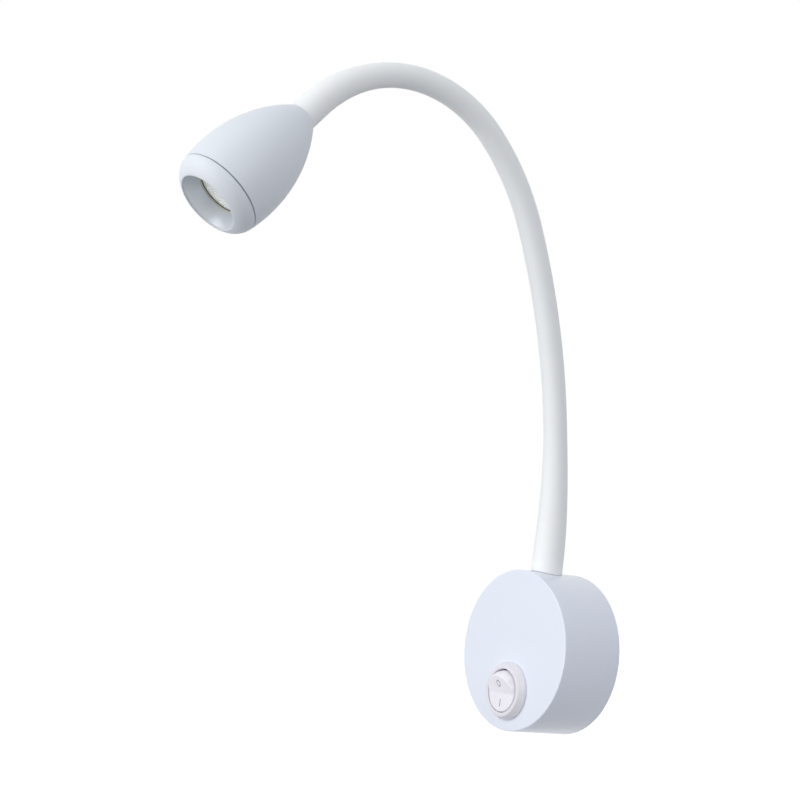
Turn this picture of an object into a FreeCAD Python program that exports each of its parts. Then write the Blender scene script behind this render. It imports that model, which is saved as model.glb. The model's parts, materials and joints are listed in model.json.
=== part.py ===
import FreeCAD, Part
import math
import os
import re

import Sketcher

# Wall reading lamp: a round base against the wall with a rocker switch, a gooseneck that leaves
# the base straight up and arches over, and a small spotlight head that looks down at the reader.
#
# The frame: the wall is the plane Y = 0, the lamp stands out of it towards -Y, +Z is up, and the
# origin is the centre of the base's back face. The lamp is symmetric about the plane X = 0.

Vector = FreeCAD.Vector
Placement = FreeCAD.Placement
Rotation = FreeCAD.Rotation

doc = FreeCAD.newDocument("WallReadingLamp")

# ---- Driving dimensions, in millimetres and degrees ------------------------------------------

SIZES = {
    # base housing: a turned cup, open towards the wall
    "base_diameter": 64.0,
    "base_depth": 28.0,
    "base_wall": 2.0,
    "base_face": 2.2,
    "base_edge": 0.5,
    # mounting dish that is screwed to the wall and carries the housing
    "dish_thickness": 1.5,
    "dish_height": 8.0,
    "dish_gap": 0.15,
    "wall_screw_margin": 2.85,
    "wall_screw_slot_width": 4.4,
    "wall_screw_slot_length": 7.0,
    "cable_hole_diameter": 11.0,
    "cable_hole_margin": 2.25,
    "cable_hole_angle": 47.0,
    "grommet_bore": 6.4,
    "grommet_flange": 1.8,
    "grommet_lip": 1.5,
    "set_screw_diameter": 3.0,
    "thread_gap": 0.05,
    "earth_screw_diameter": 4.0,
    "earth_screw_margin": 1.5,
    "earth_screw_angle": 52.0,
    "earth_screw_head_diameter": 8.0,
    "earth_screw_head_height": 2.4,
    "earth_screw_head_bevel": 1.0,
    # rocker switch
    "switch_margin": 4.2,
    "switch_flange_diameter": 23.0,
    "switch_flange_height": 3.4,
    "switch_flange_rim": 1.0,
    "switch_flange_flat": 1.5,
    "switch_opening_diameter": 17.3,
    "switch_barrel_diameter": 19.8,
    "switch_barrel_length": 14.0,
    "switch_floor": 3.0,
    "switch_hole_gap": 0.1,
    "snap_height": 1.0,
    "snap_length": 3.0,
    "snap_width": 6.0,
    "rocker_diameter": 16.6,
    "rocker_shoulder": 2.1,
    "rocker_face_diameter": 14.7,
    "rocker_tilt": 13.5,
    "rocker_level": 0.15,
    "rocker_depth": 5.0,
    "rocker_pivot_height": 0.1,
    "rocker_pin_diameter": 2.4,
    "rocker_pin_length": 1.0,
    "rocker_pin_gap": 0.05,
    "spring_diameter": 2.6,
    "spring_wire": 0.35,
    "spring_length": 3.0,
    "spring_gap": 0.1,
    "leaf_length": 8.0,
    "leaf_width": 3.0,
    "leaf_thickness": 0.4,
    "contact_gap": 0.3,
    "terminal_width": 4.8,
    "terminal_thickness": 0.8,
    "terminal_spacing": 6.0,
    "terminal_tail": 6.5,
    # driver: the small power supply
    "driver_height": 20.0,
    "driver_depth": 15.0,
    "driver_wall": 1.2,
    "driver_gap": 1.6,
    "driver_corner_gap": 3.1,
    "tape_thickness": 0.8,
    "tape_width": 26.0,
    "tape_height": 16.0,
    "board_thickness": 1.2,
    "board_gap": 0.3,
    "transformer_size": 10.0,
    "transformer_depth": 7.0,
    "capacitor_diameter": 6.3,
    "capacitor_height": 9.0,
    # terminal block
    "block_width": 10.0,
    "block_height": 12.0,
    "block_depth": 9.0,
    "block_margin": 1.0,
    "block_angle": 50.0,
    "block_screw_diameter": 3.2,
    "block_screw_spacing": 6.0,
    "block_screw_length": 3.8,
    "block_screw_sunk": 0.7,
    # neck: its path is a straight run, three tangent arcs and a straight run
    "neck_set_back": 15.6,
    "lower_run": 8.0,
    "lower_bend_radius": 290.0,
    "lower_bend_angle": 26.0,
    "middle_bend_radius": 100.0,
    "middle_bend_angle": 22.5,
    "upper_bend_radius": 59.0,
    "upper_bend_angle": 89.8,
    "upper_run": 8.0,
    "neck_diameter": 9.5,
    "neck_foot_diameter": 12.6,
    "neck_foot_taper": 60.0,
    "neck_head_diameter": 11.7,
    "neck_head_taper": 48.0,
    "sleeve_bore": 8.4,
    "sleeve_seat_gap": 0.15,
    # the neck's core, as jointed links
    "link_diameter": 7.7,
    "link_bore": 4.6,
    "link_gap": 0.95,
    "link_face_diameter": 5.4,
    "link_bevel": 0.4,
    "first_pivot": 14.0,
    "last_pivot": 12.0,
    "lower_link_length": 14.5,
    "lower_link_count": 8.0,
    "upper_link_count": 13.0,
    # fittings at the neck's ends
    "fitting_core_length": 7.2,
    "thread_end": 0.5,
    "core_gap": 0.05,
    "nipple_diameter": 8.0,
    "nipple_gap": 0.05,
    "nipple_length": 10.0,
    "nut_across_flats": 12.0,
    "nut_height": 3.5,
    "washer_diameter": 13.0,
    "washer_thickness": 0.8,
    "lead_diameter": 3.0,
    "lead_gap": 0.2,
    # head: an ogive shell, measured back from the rim of its mouth
    "head_length": 51.5,
    "head_diameter": 36.2,
    "head_bulge_place": 15.5,
    "head_tail_diameter": 12.1,
    "head_seam_place": 6.2,
    "head_seam_gap": 0.3,
    "head_wall": 2.5,
    "head_shoulder_place": 27.0,
    "head_shoulder": 1.0,
    "head_tail_wall": 6.5,
    "head_tail_cavity": 16.6,
    "bezel_lip": 0.8,
    "bezel_lip_reach": 1.9,
    "bezel_step": 1.0,
    "bezel_flat": 0.15,
    "bezel_spigot_length": 5.8,
    "bezel_spigot_gap": 0.15,
    "bezel_wall": 1.25,
    "cone_wall": 0.8,
    "cone_taper": 2.4,
    "cone_length": 6.1,
    "trim_ring_thickness": 0.6,
    "trim_ring_reach": 0.8,
    "trim_ring_show": 0.27,
    "lens_overlap": 0.6,
    "lens_flange": 1.2,
    "lens_flange_reach": 0.9,
    "lens_seat_gap": 0.1,
    "lens_tip_diameter": 8.4,
    "lens_length": 9.6,
    "lens_recess_diameter": 4.2,
    "lens_recess_depth": 2.0,
    "holder_wall": 1.0,
    "holder_floor": 1.2,
    "holder_window": 10.0,
    "led_board_margin": 1.1,
    "led_board_thickness": 1.6,
    "emitter_size": 3.5,
    "emitter_height": 1.0,
    "board_screw_margin": 1.4,
    "board_screw_diameter": 2.0,
    "board_screw_head": 2.8,
    "board_screw_head_height": 1.2,
    "board_screw_length": 5.0,
    "sink_thickness": 7.0,
    "sink_hub_diameter": 12.0,
    "sink_hub_length": 8.0,
    "sink_fin_count": 12.0,
    "sink_fin_slot": 1.6,
    "sink_fin_depth": 4.0,
    "stack_gap": 0.05,
    # how far a cutting outline reaches past what it cuts
    "cut_over": 1.0,
}

# Sizes and places that follow from the driving ones. The dish's floor carries the earth screw,
# the cable's hole and the terminal block a margin inside its rim. The switch keeps its margin to
# the base's edge, with the driver just above it and as wide as the round wall leaves room for.
# The head's curve is the arc through its widest circle and its tail, and everything in the head
# is as wide as the wall, the screwed ring and the part round it leave room for. The ring in front
# leaves that curve at the seam and rounds over to the flat edge of the mouth in one tangent arc.
DERIVED = {
    "dish_floor_radius": "base_diameter/2-base_wall-dish_gap-dish_thickness",
    "wall_screw_spacing": "2*(dish_floor_radius-wall_screw_slot_length/2-wall_screw_margin)",
    "cable_hole_reach": "dish_floor_radius-cable_hole_diameter/2-grommet_lip-cable_hole_margin",
    "cable_hole_side": "cable_hole_reach*cos(cable_hole_angle)",
    "cable_hole_drop": "cable_hole_reach*sin(cable_hole_angle)",
    "earth_screw_reach": "dish_floor_radius-earth_screw_head_diameter/2-earth_screw_margin",
    "earth_screw_side": "earth_screw_reach*cos(earth_screw_angle)",
    "earth_screw_rise": "earth_screw_reach*sin(earth_screw_angle)",
    "block_side": "(dish_floor_radius-block_margin)*cos(block_angle)-block_width/2",
    "block_drop": "(dish_floor_radius-block_margin)*sin(block_angle)-block_height/2",
    "switch_drop": "base_diameter/2-switch_flange_diameter/2-switch_margin",
    "driver_rise": "switch_barrel_diameter/2-switch_drop+driver_gap+driver_height/2",
    "driver_reach": "base_diameter/2-base_wall-driver_corner_gap",
    "driver_width": "2*sqrt(driver_reach^2-(driver_rise+driver_height/2)^2)",
    "head_drawn_in": "(head_diameter-head_tail_diameter)/2",
    "head_bulge_radius": "((head_length-head_bulge_place)^2+head_drawn_in^2)/(2*head_drawn_in)",
    "head_bore": "head_diameter-2*head_wall",
    "bezel_bore": "head_bore-2*(bezel_spigot_gap+bezel_wall)",
    "mouth_diameter": "bezel_bore-2*bezel_lip_reach",
    "bezel_seam": "head_seam_place-head_seam_gap/2",
    "bezel_lean": "head_bulge_place-bezel_seam",
    "bezel_swing": "sqrt(head_bulge_radius^2-bezel_lean^2)",
    "bezel_drawn_in": "head_diameter/2-head_bulge_radius+bezel_swing-mouth_diameter/2-bezel_flat",
    "bezel_round": "head_bulge_radius*(bezel_drawn_in^2+bezel_seam^2)"
                   "/(2*(bezel_swing*bezel_drawn_in-bezel_lean*bezel_seam))",
    "cone_exit_diameter": "mouth_diameter-2*cone_taper",
    "lens_diameter": "cone_exit_diameter+2*lens_overlap",
    "lens_body_diameter": "lens_diameter-2*lens_flange_reach",
    "trim_ring_diameter": "lens_diameter+2*trim_ring_reach",
    "holder_diameter": "lens_diameter+2*(lens_seat_gap+holder_wall)",
    "led_board_diameter": "head_bore-2*led_board_margin",
    "board_screw_circle": "led_board_diameter-2*board_screw_margin",
}

sheet = doc.addObject("Spreadsheet::Sheet", "Sizes")
cells = {**SIZES, **{alias: f"={formula}" for alias, formula in DERIVED.items()}}
for row, (alias, value) in enumerate(cells.items(), start=1):
    sheet.set(f"A{row}", alias.replace("_", " "))
    sheet.set(f"B{row}", str(value))
    sheet.setAlias(f"B{row}", alias)
doc.recompute()


def size(formula):
    """The value of a formula of the sheet's names."""
    return float(sheet.evalExpression(formula))


def bound(formula):
    """The same formula as other objects of the document read it."""
    return re.sub(r"[a-z]+(?:_[a-z]+)+", lambda name: "Sizes." + name.group(), formula)


# ---- Ways of making a piece ------------------------------------------------------------------

def own_plane(body, role):
    """One of a body's own origin planes."""
    return next(each for each in body.Origin.OriginFeatures if each.Role == role)


def new_sketch(body, role, lift="0"):
    """An empty sketch on one of the body's planes, lifted off it by a formula."""
    sketch = body.newObject("Sketcher::SketchObject", "Sketch")
    sketch.AttachmentSupport = [(own_plane(body, role), "")]
    sketch.MapMode = "FlatFace"
    if lift != "0":
        sketch.setExpression("AttachmentOffset.Base.z", bound(lift))
    return sketch


def tie(sketch, kind, edge, point, formula):
    """Hold one coordinate of a sketch's point to a formula."""
    index = sketch.addConstraint(Sketcher.Constraint(kind, -1, 1, edge, point, size(formula)))
    if "_" in formula:
        sketch.setExpression(f"Constraints[{index}]", bound(formula))


def arc_between(start, end, radius):
    """The short arc from start to end, its centre left of the way for a positive radius."""
    chord = end - start
    height = math.sqrt(radius**2 - (chord.Length / 2)**2)
    side = Vector(-chord.y, chord.x, 0).normalize() * math.copysign(height, radius)
    centre = (start + end) / 2 + side
    first, last = (start, end) if radius > 0 else (end, start)
    angles = [math.atan2(p.y - centre.y, p.x - centre.x) for p in (first, last)]
    circle = Part.Circle(centre, Vector(0, 0, 1), abs(radius))
    return Part.ArcOfCircle(circle, angles[0], angles[1])


def draw_outline(sketch, corners):
    """Add a closed outline to a sketch.

    Each corner is (x, y) as formulas, or (x, y, radius) where an arc runs on from it to the
    next corner, its centre to the left of the way for a positive radius.
    """
    base = sketch.GeometryCount
    places = [Vector(size(corner[0]), size(corner[1]), 0) for corner in corners]
    count = len(corners)
    ends = []
    for i, corner in enumerate(corners):
        start, end = places[i], places[(i + 1) % count]
        if len(corner) == 3:
            radius = size(corner[2])
            edge = sketch.addGeometry(arc_between(start, end, radius), False)
            ends.append((1, 2) if radius > 0 else (2, 1))
            held = sketch.addConstraint(Sketcher.Constraint("Radius", edge, abs(radius)))
            sketch.setExpression(f"Constraints[{held}]", f"abs({bound(corner[2])})")
        else:
            sketch.addGeometry(Part.LineSegment(start, end), False)
            ends.append((1, 2))
    for i in range(count):
        after = (i + 1) % count
        joint = Sketcher.Constraint("Coincident", base + i, ends[i][1], base + after, ends[after][0])
        sketch.addConstraint(joint)
    for i, corner in enumerate(corners):
        tie(sketch, "DistanceX", base + i, ends[i][0], corner[0])
        tie(sketch, "DistanceY", base + i, ends[i][0], corner[1])


def draw_circle(sketch, across, up, radius):
    """Add a circle to a sketch, its centre and radius as formulas."""
    centre = Vector(size(across), size(up), 0)
    edge = sketch.addGeometry(Part.Circle(centre, Vector(0, 0, 1), size(radius)), False)
    held = sketch.addConstraint(Sketcher.Constraint("Radius", edge, size(radius)))
    sketch.setExpression(f"Constraints[{held}]", bound(radius))
    tie(sketch, "DistanceX", edge, 3, across)
    tie(sketch, "DistanceY", edge, 3, up)


def rectangle(low_x, low_y, high_x, high_y):
    """The corners of an upright rectangle."""
    return [(low_x, low_y), (high_x, low_y), (high_x, high_y), (low_x, high_y)]


def new_body(label, place=Placement()):
    """An empty body of its own name, at its place in the lamp."""
    body = doc.addObject("PartDesign::Body", label)
    body.Label = label
    body.Placement = place
    return body


def turned(label, corners, place=Placement()):
    """A piece turned about its own Z axis; corners are (radius, height) formulas."""
    body = new_body(label, place)
    sketch = new_sketch(body, "XZ_Plane")
    draw_outline(sketch, corners)
    feature = body.newObject("PartDesign::Revolution", "Turned")
    feature.Profile = (sketch, [""])
    feature.ReferenceAxis = (sketch, ["V_Axis"])
    feature.Angle = 360
    doc.recompute()
    return body


def pad(body, role, draw, length, lift="0", backwards=False):
    """Add what draw puts on a sketch, raised by a formula's length."""
    sketch = new_sketch(body, role, lift)
    draw(sketch)
    feature = body.newObject("PartDesign::Pad", "Raised")
    feature.Profile = (sketch, [""])
    feature.Reversed = backwards
    feature.setExpression("Length", bound(length))
    doc.recompute()
    return feature


def pocket(body, role, draw, length, lift="0", backwards=False):
    """Cut what draw puts on a sketch, sunk by a formula's length; it has to cut something."""
    before = body.Tip.Shape.Volume
    sketch = new_sketch(body, role, lift)
    draw(sketch)
    feature = body.newObject("PartDesign::Pocket", "Cut")
    feature.Profile = (sketch, [""])
    feature.Reversed = backwards
    feature.setExpression("Length", bound(length))
    doc.recompute()
    if body.Tip.Shape.Volume > before - 1e-6:
        raise ValueError(f"{body.Label}: a pocket cuts nothing")
    return feature


def padded(label, role, draw, length, place=Placement(), lift="0"):
    """A piece of one raised outline."""
    body = new_body(label, place)
    pad(body, role, draw, length, lift)
    return body


def shape_of(label, shape):
    """A piece whose form neither a sketch nor a primitive gives."""
    piece = doc.addObject("Part::Feature", label)
    piece.Label = label
    piece.Shape = shape
    return piece


pieces = []


def keep(*made):
    """Count pieces among the lamp's sub-parts."""
    pieces.extend(made)


# ---- Places ----------------------------------------------------------------------------------

# In the base's own frame x is the lamp's X, y is up and z runs out of the wall.
OUT_OF_WALL = Placement(Vector(), Rotation(Vector(1, 0, 0), 90))


def base_place(across="0", up="0", out="0"):
    """A place in the base's frame, from formulas."""
    return OUT_OF_WALL * Placement(Vector(size(across), size(up), size(out)), Rotation())


def follow(piece, across="0", up="0", out="0"):
    """Tie a piece's place in the base's frame to the sheet."""
    piece.Placement = base_place(across, up, out)
    piece.setExpression("Placement.Base.x", bound(across))
    piece.setExpression("Placement.Base.y", bound(f"-({out})"))
    piece.setExpression("Placement.Base.z", bound(up))
    return piece


# ---- The neck's path -------------------------------------------------------------------------

class NeckPath:
    """The neck's centre line in the plane X = 0, by the length run from its foot."""

    def __init__(self):
        """Lay the runs and arcs end to end, each as (length, radius), radius 0 for a run."""
        self.spans = [(size("lower_run"), 0.0)]
        for zone in ("lower", "middle", "upper"):
            radius = size(f"{zone}_bend_radius")
            self.spans.append((math.radians(size(f"{zone}_bend_angle")) * radius, radius))
        self.spans.append((size("upper_run"), 0.0))
        self.length = sum(span for span, _ in self.spans)
        self.foot = Vector(0, -size("neck_set_back"), size("base_diameter/2"))

    def at(self, run):
        """The point, and the angle turned away from upright, at a length run."""
        point, turned_by, left = self.foot, 0.0, run
        for i, (span, radius) in enumerate(self.spans):
            last = i == len(self.spans) - 1
            step = left if last or left < span else span
            if radius:
                bend = step / radius
                side = math.cos(turned_by) - math.cos(turned_by + bend)
                rise = math.sin(turned_by + bend) - math.sin(turned_by)
                point = point + Vector(0, -side, rise) * radius
                turned_by += bend
            else:
                point = point + Vector(0, -math.sin(turned_by), math.cos(turned_by)) * step
            left -= step
            if left <= 0 and step < span or last:
                break
        return point, turned_by

    def place(self, run):
        """A place whose Z axis runs along the neck."""
        point, turned_by = self.at(run)
        return Placement(point, Rotation(Vector(1, 0, 0), math.degrees(turned_by)))

    def wire(self, start, end):
        """The centre line between two lengths run, as tangent lines and arcs."""
        marks = [start]
        passed = 0.0
        for span, _ in self.spans[:-1]:
            passed += span
            if start < passed < end:
                marks.append(passed)
        marks.append(end)
        edges = []
        for low, high in zip(marks, marks[1:]):
            first, middle, last = (self.at(run)[0] for run in (low, (low + high) / 2, high))
            straight = abs(self.at(low)[1] - self.at(high)[1]) < 1e-9
            curve = Part.LineSegment(first, last) if straight else Part.Arc(first, middle, last)
            edges.append(curve.toShape())
        return Part.Wire(edges)

    def pipe(self, start, end, radius):
        """A round bar along the centre line."""
        place = self.place(start)
        ring = Part.makeCircle(radius, place.Base, place.Rotation.multVec(Vector(0, 0, 1)))
        return self.wire(start, end).makePipeShell([Part.Wire([ring])], True, False)


path = NeckPath()

# ---- Base ------------------------------------------------------------------------------------

def make_housing():
    """Turned cup with the switch hole in its face, the neck's hole on top, a set screw below."""
    radius, inside = "base_diameter/2", "base_diameter/2-base_wall"
    housing = turned("base_housing", [
        ("0", "base_depth-base_face"),
        (inside, "base_depth-base_face"),
        (inside, "0"),
        (radius, "0"),
        (radius, "base_depth-base_edge", "base_edge"),
        (f"{radius}-base_edge", "base_depth"),
        ("0", "base_depth"),
    ], OUT_OF_WALL)
    hole = "switch_barrel_diameter/2+switch_hole_gap"
    pocket(housing, "XY_Plane", lambda s: draw_circle(s, "0", "-switch_drop", hole),
           "base_face+cut_over*2", "base_depth+cut_over")
    neck = "nipple_diameter/2+nipple_gap"
    pocket(housing, "XZ_Plane", lambda s: draw_circle(s, "0", "neck_set_back", neck),
           "base_wall+cut_over*2", "-(base_diameter/2-base_wall-cut_over)")
    screw = "set_screw_diameter/2+thread_gap"
    pocket(housing, "XZ_Plane", lambda s: draw_circle(s, "0", "dish_height/2", screw),
           "base_wall+cut_over*2", "base_diameter/2-base_wall-cut_over", True)
    keep(housing)


def make_dish():
    """Pressed dish: a disc on the wall with a rim that the housing slides over."""
    inner, rim = "dish_floor_radius", "dish_floor_radius+dish_thickness"
    dish = turned("mounting_dish", [
        ("0", "0"),
        (rim, "0"),
        (rim, "dish_height"),
        (inner, "dish_height"),
        (inner, "dish_thickness"),
        ("0", "dish_thickness"),
    ], OUT_OF_WALL)
    straight = "(wall_screw_slot_length-wall_screw_slot_width)/2"
    half = "wall_screw_slot_width/2"

    def slot(side):
        middle = f"{side}*wall_screw_spacing/2"
        return [
            (f"{middle}-{straight}", f"-{half}"),
            (f"{middle}+{straight}", f"-{half}", half),
            (f"{middle}+{straight}+{half}", "0", half),
            (f"{middle}+{straight}", half),
            (f"{middle}-{straight}", half, half),
            (f"{middle}-{straight}-{half}", "0", half),
        ]

    earth = "earth_screw_diameter/2+thread_gap"

    def holes(sketch):
        for side in ("1", "-1"):
            draw_outline(sketch, slot(side))
        draw_circle(sketch, "-cable_hole_side", "-cable_hole_drop", "cable_hole_diameter/2")
        draw_circle(sketch, "-earth_screw_side", "earth_screw_rise", earth)

    pocket(dish, "XY_Plane", holes, "dish_thickness+cut_over*2", "-cut_over", True)
    keep(dish)


def make_dish_fittings():
    """Grommet round the cable hole, set screw under the housing, earth screw on the dish."""
    bore, hole = "grommet_bore/2", "cable_hole_diameter/2"
    grommet = turned("inlet_grommet", [
        (bore, "0"),
        (hole, "0"),
        (hole, "dish_thickness"),
        (f"{hole}+grommet_lip", "dish_thickness"),
        (f"{hole}+grommet_lip", "dish_thickness+grommet_flange"),
        (bore, "dish_thickness+grommet_flange"),
    ])
    follow(grommet, "-cable_hole_side", "-cable_hole_drop")
    screw = turned("set_screw", [
        ("0", "0"),
        ("set_screw_diameter/2", "0"),
        ("set_screw_diameter/2", "base_wall+dish_gap-thread_gap"),
        ("0", "base_wall+dish_gap-thread_gap"),
    ])
    screw.Placement = Placement(Vector(0, -size("dish_height/2"), -size("base_diameter/2")), Rotation())
    screw.setExpression("Placement.Base.y", bound("-dish_height/2"))
    screw.setExpression("Placement.Base.z", bound("-base_diameter/2"))
    shank, head = "earth_screw_diameter/2", "earth_screw_head_diameter/2"
    top = "dish_thickness+earth_screw_head_height"
    earth = turned("earth_screw", [
        ("0", "0"),
        (shank, "0"),
        (shank, "dish_thickness"),
        (head, "dish_thickness"),
        (head, f"{top}-earth_screw_head_bevel"),
        (f"{head}-earth_screw_head_bevel", top),
        ("0", top),
    ])
    follow(earth, "-earth_screw_side", "earth_screw_rise")
    keep(grommet, screw, earth)


def make_terminal_block():
    """Two-pole block on the dish, with its clamping screws."""
    block = padded("terminal_block", "XY_Plane", lambda s: draw_outline(s, rectangle(
        "-block_width/2", "-block_height/2", "block_width/2", "block_height/2")), "block_depth")

    def both(radius):
        def draw(sketch):
            draw_circle(sketch, "0", "block_screw_spacing/2", radius)
            draw_circle(sketch, "0", "-block_screw_spacing/2", radius)
        return draw

    deep = "(block_screw_length+block_screw_sunk)"
    pocket(block, "XY_Plane", both("block_screw_diameter/2+thread_gap"), deep, "block_depth")
    screws = new_body("terminal_screws")
    screws.AllowCompound = True
    pad(screws, "XY_Plane", both("block_screw_diameter/2"), "block_screw_length", f"block_depth-{deep}")
    for piece in (block, screws):
        follow(piece, "block_side", "-block_drop", "dish_thickness")
        keep(piece)


# ---- Driver ----------------------------------------------------------------------------------

def make_driver():
    """Sealed box with a lid towards the wall, stuck to the inside of the base's face."""
    low, high = "driver_rise-driver_height/2", "driver_rise+driver_height/2"
    side = "driver_width/2"
    front = "base_depth-base_face-tape_thickness"
    back = f"{front}-driver_depth"
    box = rectangle(f"-{side}", low, side, high)
    inner = rectangle(f"-{side}+driver_wall", f"{low}+driver_wall",
                      f"{side}-driver_wall", f"{high}-driver_wall")
    case = padded("driver_case", "XY_Plane", lambda s: draw_outline(s, box), "driver_depth",
                  OUT_OF_WALL, back)
    pocket(case, "XY_Plane", lambda s: draw_outline(s, inner), "driver_depth-driver_wall", back, True)
    lid = padded("driver_lid", "XY_Plane", lambda s: draw_outline(s, box), "driver_wall",
                 OUT_OF_WALL, f"{back}-driver_wall")
    cushion = rectangle("-tape_width/2", "driver_rise-tape_height/2",
                        "tape_width/2", "driver_rise+tape_height/2")
    tape = padded("driver_tape", "XY_Plane", lambda s: draw_outline(s, cushion), "tape_thickness",
                  OUT_OF_WALL, front)
    fit = "(driver_wall+board_gap)"
    face = rectangle(f"-{side}+{fit}", f"{low}+{fit}", f"{side}-{fit}", f"{high}-{fit}")
    board = padded("driver_board", "XY_Plane", lambda s: draw_outline(s, face), "board_thickness",
                   OUT_OF_WALL, back)
    parts = new_body("driver_components", OUT_OF_WALL)
    parts.AllowCompound = True
    half = "transformer_size/2"
    # each capacitor stands halfway between the transformer and the case's end wall
    middle = f"({half}+{side}-driver_wall)/2"

    def capacitors(sketch):
        draw_circle(sketch, middle, "driver_rise", "capacitor_diameter/2")
        draw_circle(sketch, f"-({middle})", "driver_rise", "capacitor_diameter/2")

    pad(parts, "XY_Plane", lambda s: draw_outline(s, rectangle(
        f"-{half}", f"driver_rise-{half}", half, f"driver_rise+{half}")),
        "transformer_depth", f"{back}+board_thickness")
    pad(parts, "XY_Plane", capacitors, "capacitor_height", f"{back}+board_thickness")
    keep(case, lid, tape, board, parts)


# ---- Switch ----------------------------------------------------------------------------------

# In the switch's own frame the origin is on the base's face, z runs out of it and y is up.
def at_switch(piece):
    """Seat a piece in the switch's frame."""
    return follow(piece, "0", "-switch_drop", "base_depth")


def make_switch_body():
    """Conical flange and barrel with snap lugs, a cup for the rocker and holes for its pins."""
    flange, barrel = "switch_flange_diameter/2", "switch_barrel_diameter/2"
    opening, deep = "switch_opening_diameter/2", "(switch_barrel_length-switch_floor)"
    body = turned("switch_body", [
        ("0", "-switch_barrel_length"),
        (barrel, "-switch_barrel_length"),
        (barrel, "0"),
        (flange, "0"),
        (flange, "switch_flange_rim"),
        (f"{opening}+switch_flange_flat", "switch_flange_height"),
        (opening, "switch_flange_height"),
        (opening, f"-{deep}"),
        ("0", f"-{deep}"),
    ])
    lug = f"{barrel}+snap_height"
    wide = "snap_width/2"
    root = f"{barrel}-snap_height"
    for low, high in ((root, lug), (f"-({lug})", f"-({root})")):
        pad(body, "XY_Plane", lambda s, low=low, high=high: draw_outline(
            s, rectangle(low, f"-{wide}", high, wide)),
            "snap_length", "-(base_face+snap_length+stack_gap)")
    hole = "rocker_pin_diameter/2+rocker_pin_gap"
    reach = f"{opening}+rocker_pin_length+rocker_pin_gap*2"
    pocket(body, "YZ_Plane", lambda s: draw_circle(s, "0", "rocker_pivot_height", hole),
           f"({reach})*2", reach)
    width, thick = "terminal_width/2+thread_gap", "terminal_thickness/2+thread_gap"
    for side in ("1", "-1"):
        middle = f"{side}*terminal_spacing/2"
        pocket(body, "XY_Plane", lambda s, middle=middle: draw_outline(
            s, rectangle(f"-({width})", f"{middle}-({thick})", width, f"{middle}+({thick})")),
            "switch_floor+cut_over*2", f"cut_over-{deep}")
    keep(at_switch(body))


def make_rocker():
    """Round button with a shallow V of two faces, a ball-shaped skirt and two pins.

    Its wall leans in towards the faces, so that it clears the opening's edge as it tilts. At
    rest the lower half, marked on, is level with the flange, and the upper half stands out of
    it by twice the tilt.
    """
    radius = "rocker_diameter/2"
    middle = "switch_flange_height+rocker_level-rocker_pivot_height"
    face = "rocker_face_diameter/2"
    rise = f"{face}*tan(rocker_tilt)"
    skirt = f"sqrt(({radius})^2-rocker_depth^2)"
    rocker = turned("switch_rocker", [
        ("0", "-rocker_depth"),
        (skirt, "-rocker_depth", radius),
        (radius, "0"),
        (radius, "rocker_shoulder"),
        (face, f"{middle}+{rise}"),
        ("0", f"{middle}+{rise}"),
    ])
    wide, side = f"({radius}+cut_over)", f"{middle}+({radius}+cut_over)*tan(rocker_tilt)"
    wedge = [
        ("0", middle),
        (wide, side),
        (wide, f"{side}+cut_over"),
        (f"-{wide}", f"{side}+cut_over"),
        (f"-{wide}", side),
    ]
    pocket(rocker, "YZ_Plane", lambda s: draw_outline(s, wedge), f"{wide}*2", wide)
    bore = "spring_diameter/2+spring_gap"
    pocket(rocker, "XY_Plane", lambda s: draw_circle(s, "0", "0", bore), "spring_length+spring_gap",
           "-rocker_depth", True)
    reach = "switch_opening_diameter/2+rocker_pin_length"
    for side, back in ((f"{radius}-rocker_pin_length", False), (f"-({radius}-rocker_pin_length)", True)):
        pad(rocker, "YZ_Plane", lambda s: draw_circle(s, "0", "0", "rocker_pin_diameter/2"),
            f"{reach}-({radius}-rocker_pin_length)", side, back)
    spring = turned("switch_spring", [
        ("spring_diameter/2-spring_wire", "-rocker_depth"),
        ("spring_diameter/2", "-rocker_depth"),
        ("spring_diameter/2", "-rocker_depth+spring_length"),
        ("spring_diameter/2-spring_wire", "-rocker_depth+spring_length"),
    ])
    leaf = padded("contact_leaf", "XY_Plane", lambda s: draw_outline(s, rectangle(
        "-leaf_width/2", "-leaf_length/2", "leaf_width/2", "leaf_length/2")),
        "leaf_thickness", Placement(), "-rocker_depth-leaf_thickness")
    pivot = Vector(0, -size("base_depth+rocker_pivot_height"), -size("switch_drop"))
    for piece in (rocker, spring, leaf):
        piece.Placement = Placement(pivot, Rotation(Vector(1, 0, 0), 90 + size("rocker_tilt")))
        keep(piece)


def make_switch_terminals():
    """Two flat tags through the switch's floor, their inner ends under the contact leaf."""
    tags = new_body("switch_terminals")
    tags.AllowCompound = True
    # the leaf's end swings this far below its middle, about the rocker's pivot
    swing = "(leaf_length/2)*sin(rocker_tilt)+(rocker_depth+leaf_thickness)*cos(rocker_tilt)"
    top = f"(rocker_pivot_height-({swing})-contact_gap)"

    def both(sketch):
        for side in ("1", "-1"):
            middle = f"{side}*terminal_spacing/2"
            draw_outline(sketch, rectangle("-terminal_width/2", f"{middle}-terminal_thickness/2",
                                           "terminal_width/2", f"{middle}+terminal_thickness/2"))

    bottom = "(-switch_barrel_length-terminal_tail)"
    pad(tags, "XY_Plane", both, f"{top}-{bottom}", bottom)
    keep(at_switch(tags))


# ---- Neck ------------------------------------------------------------------------------------

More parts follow.
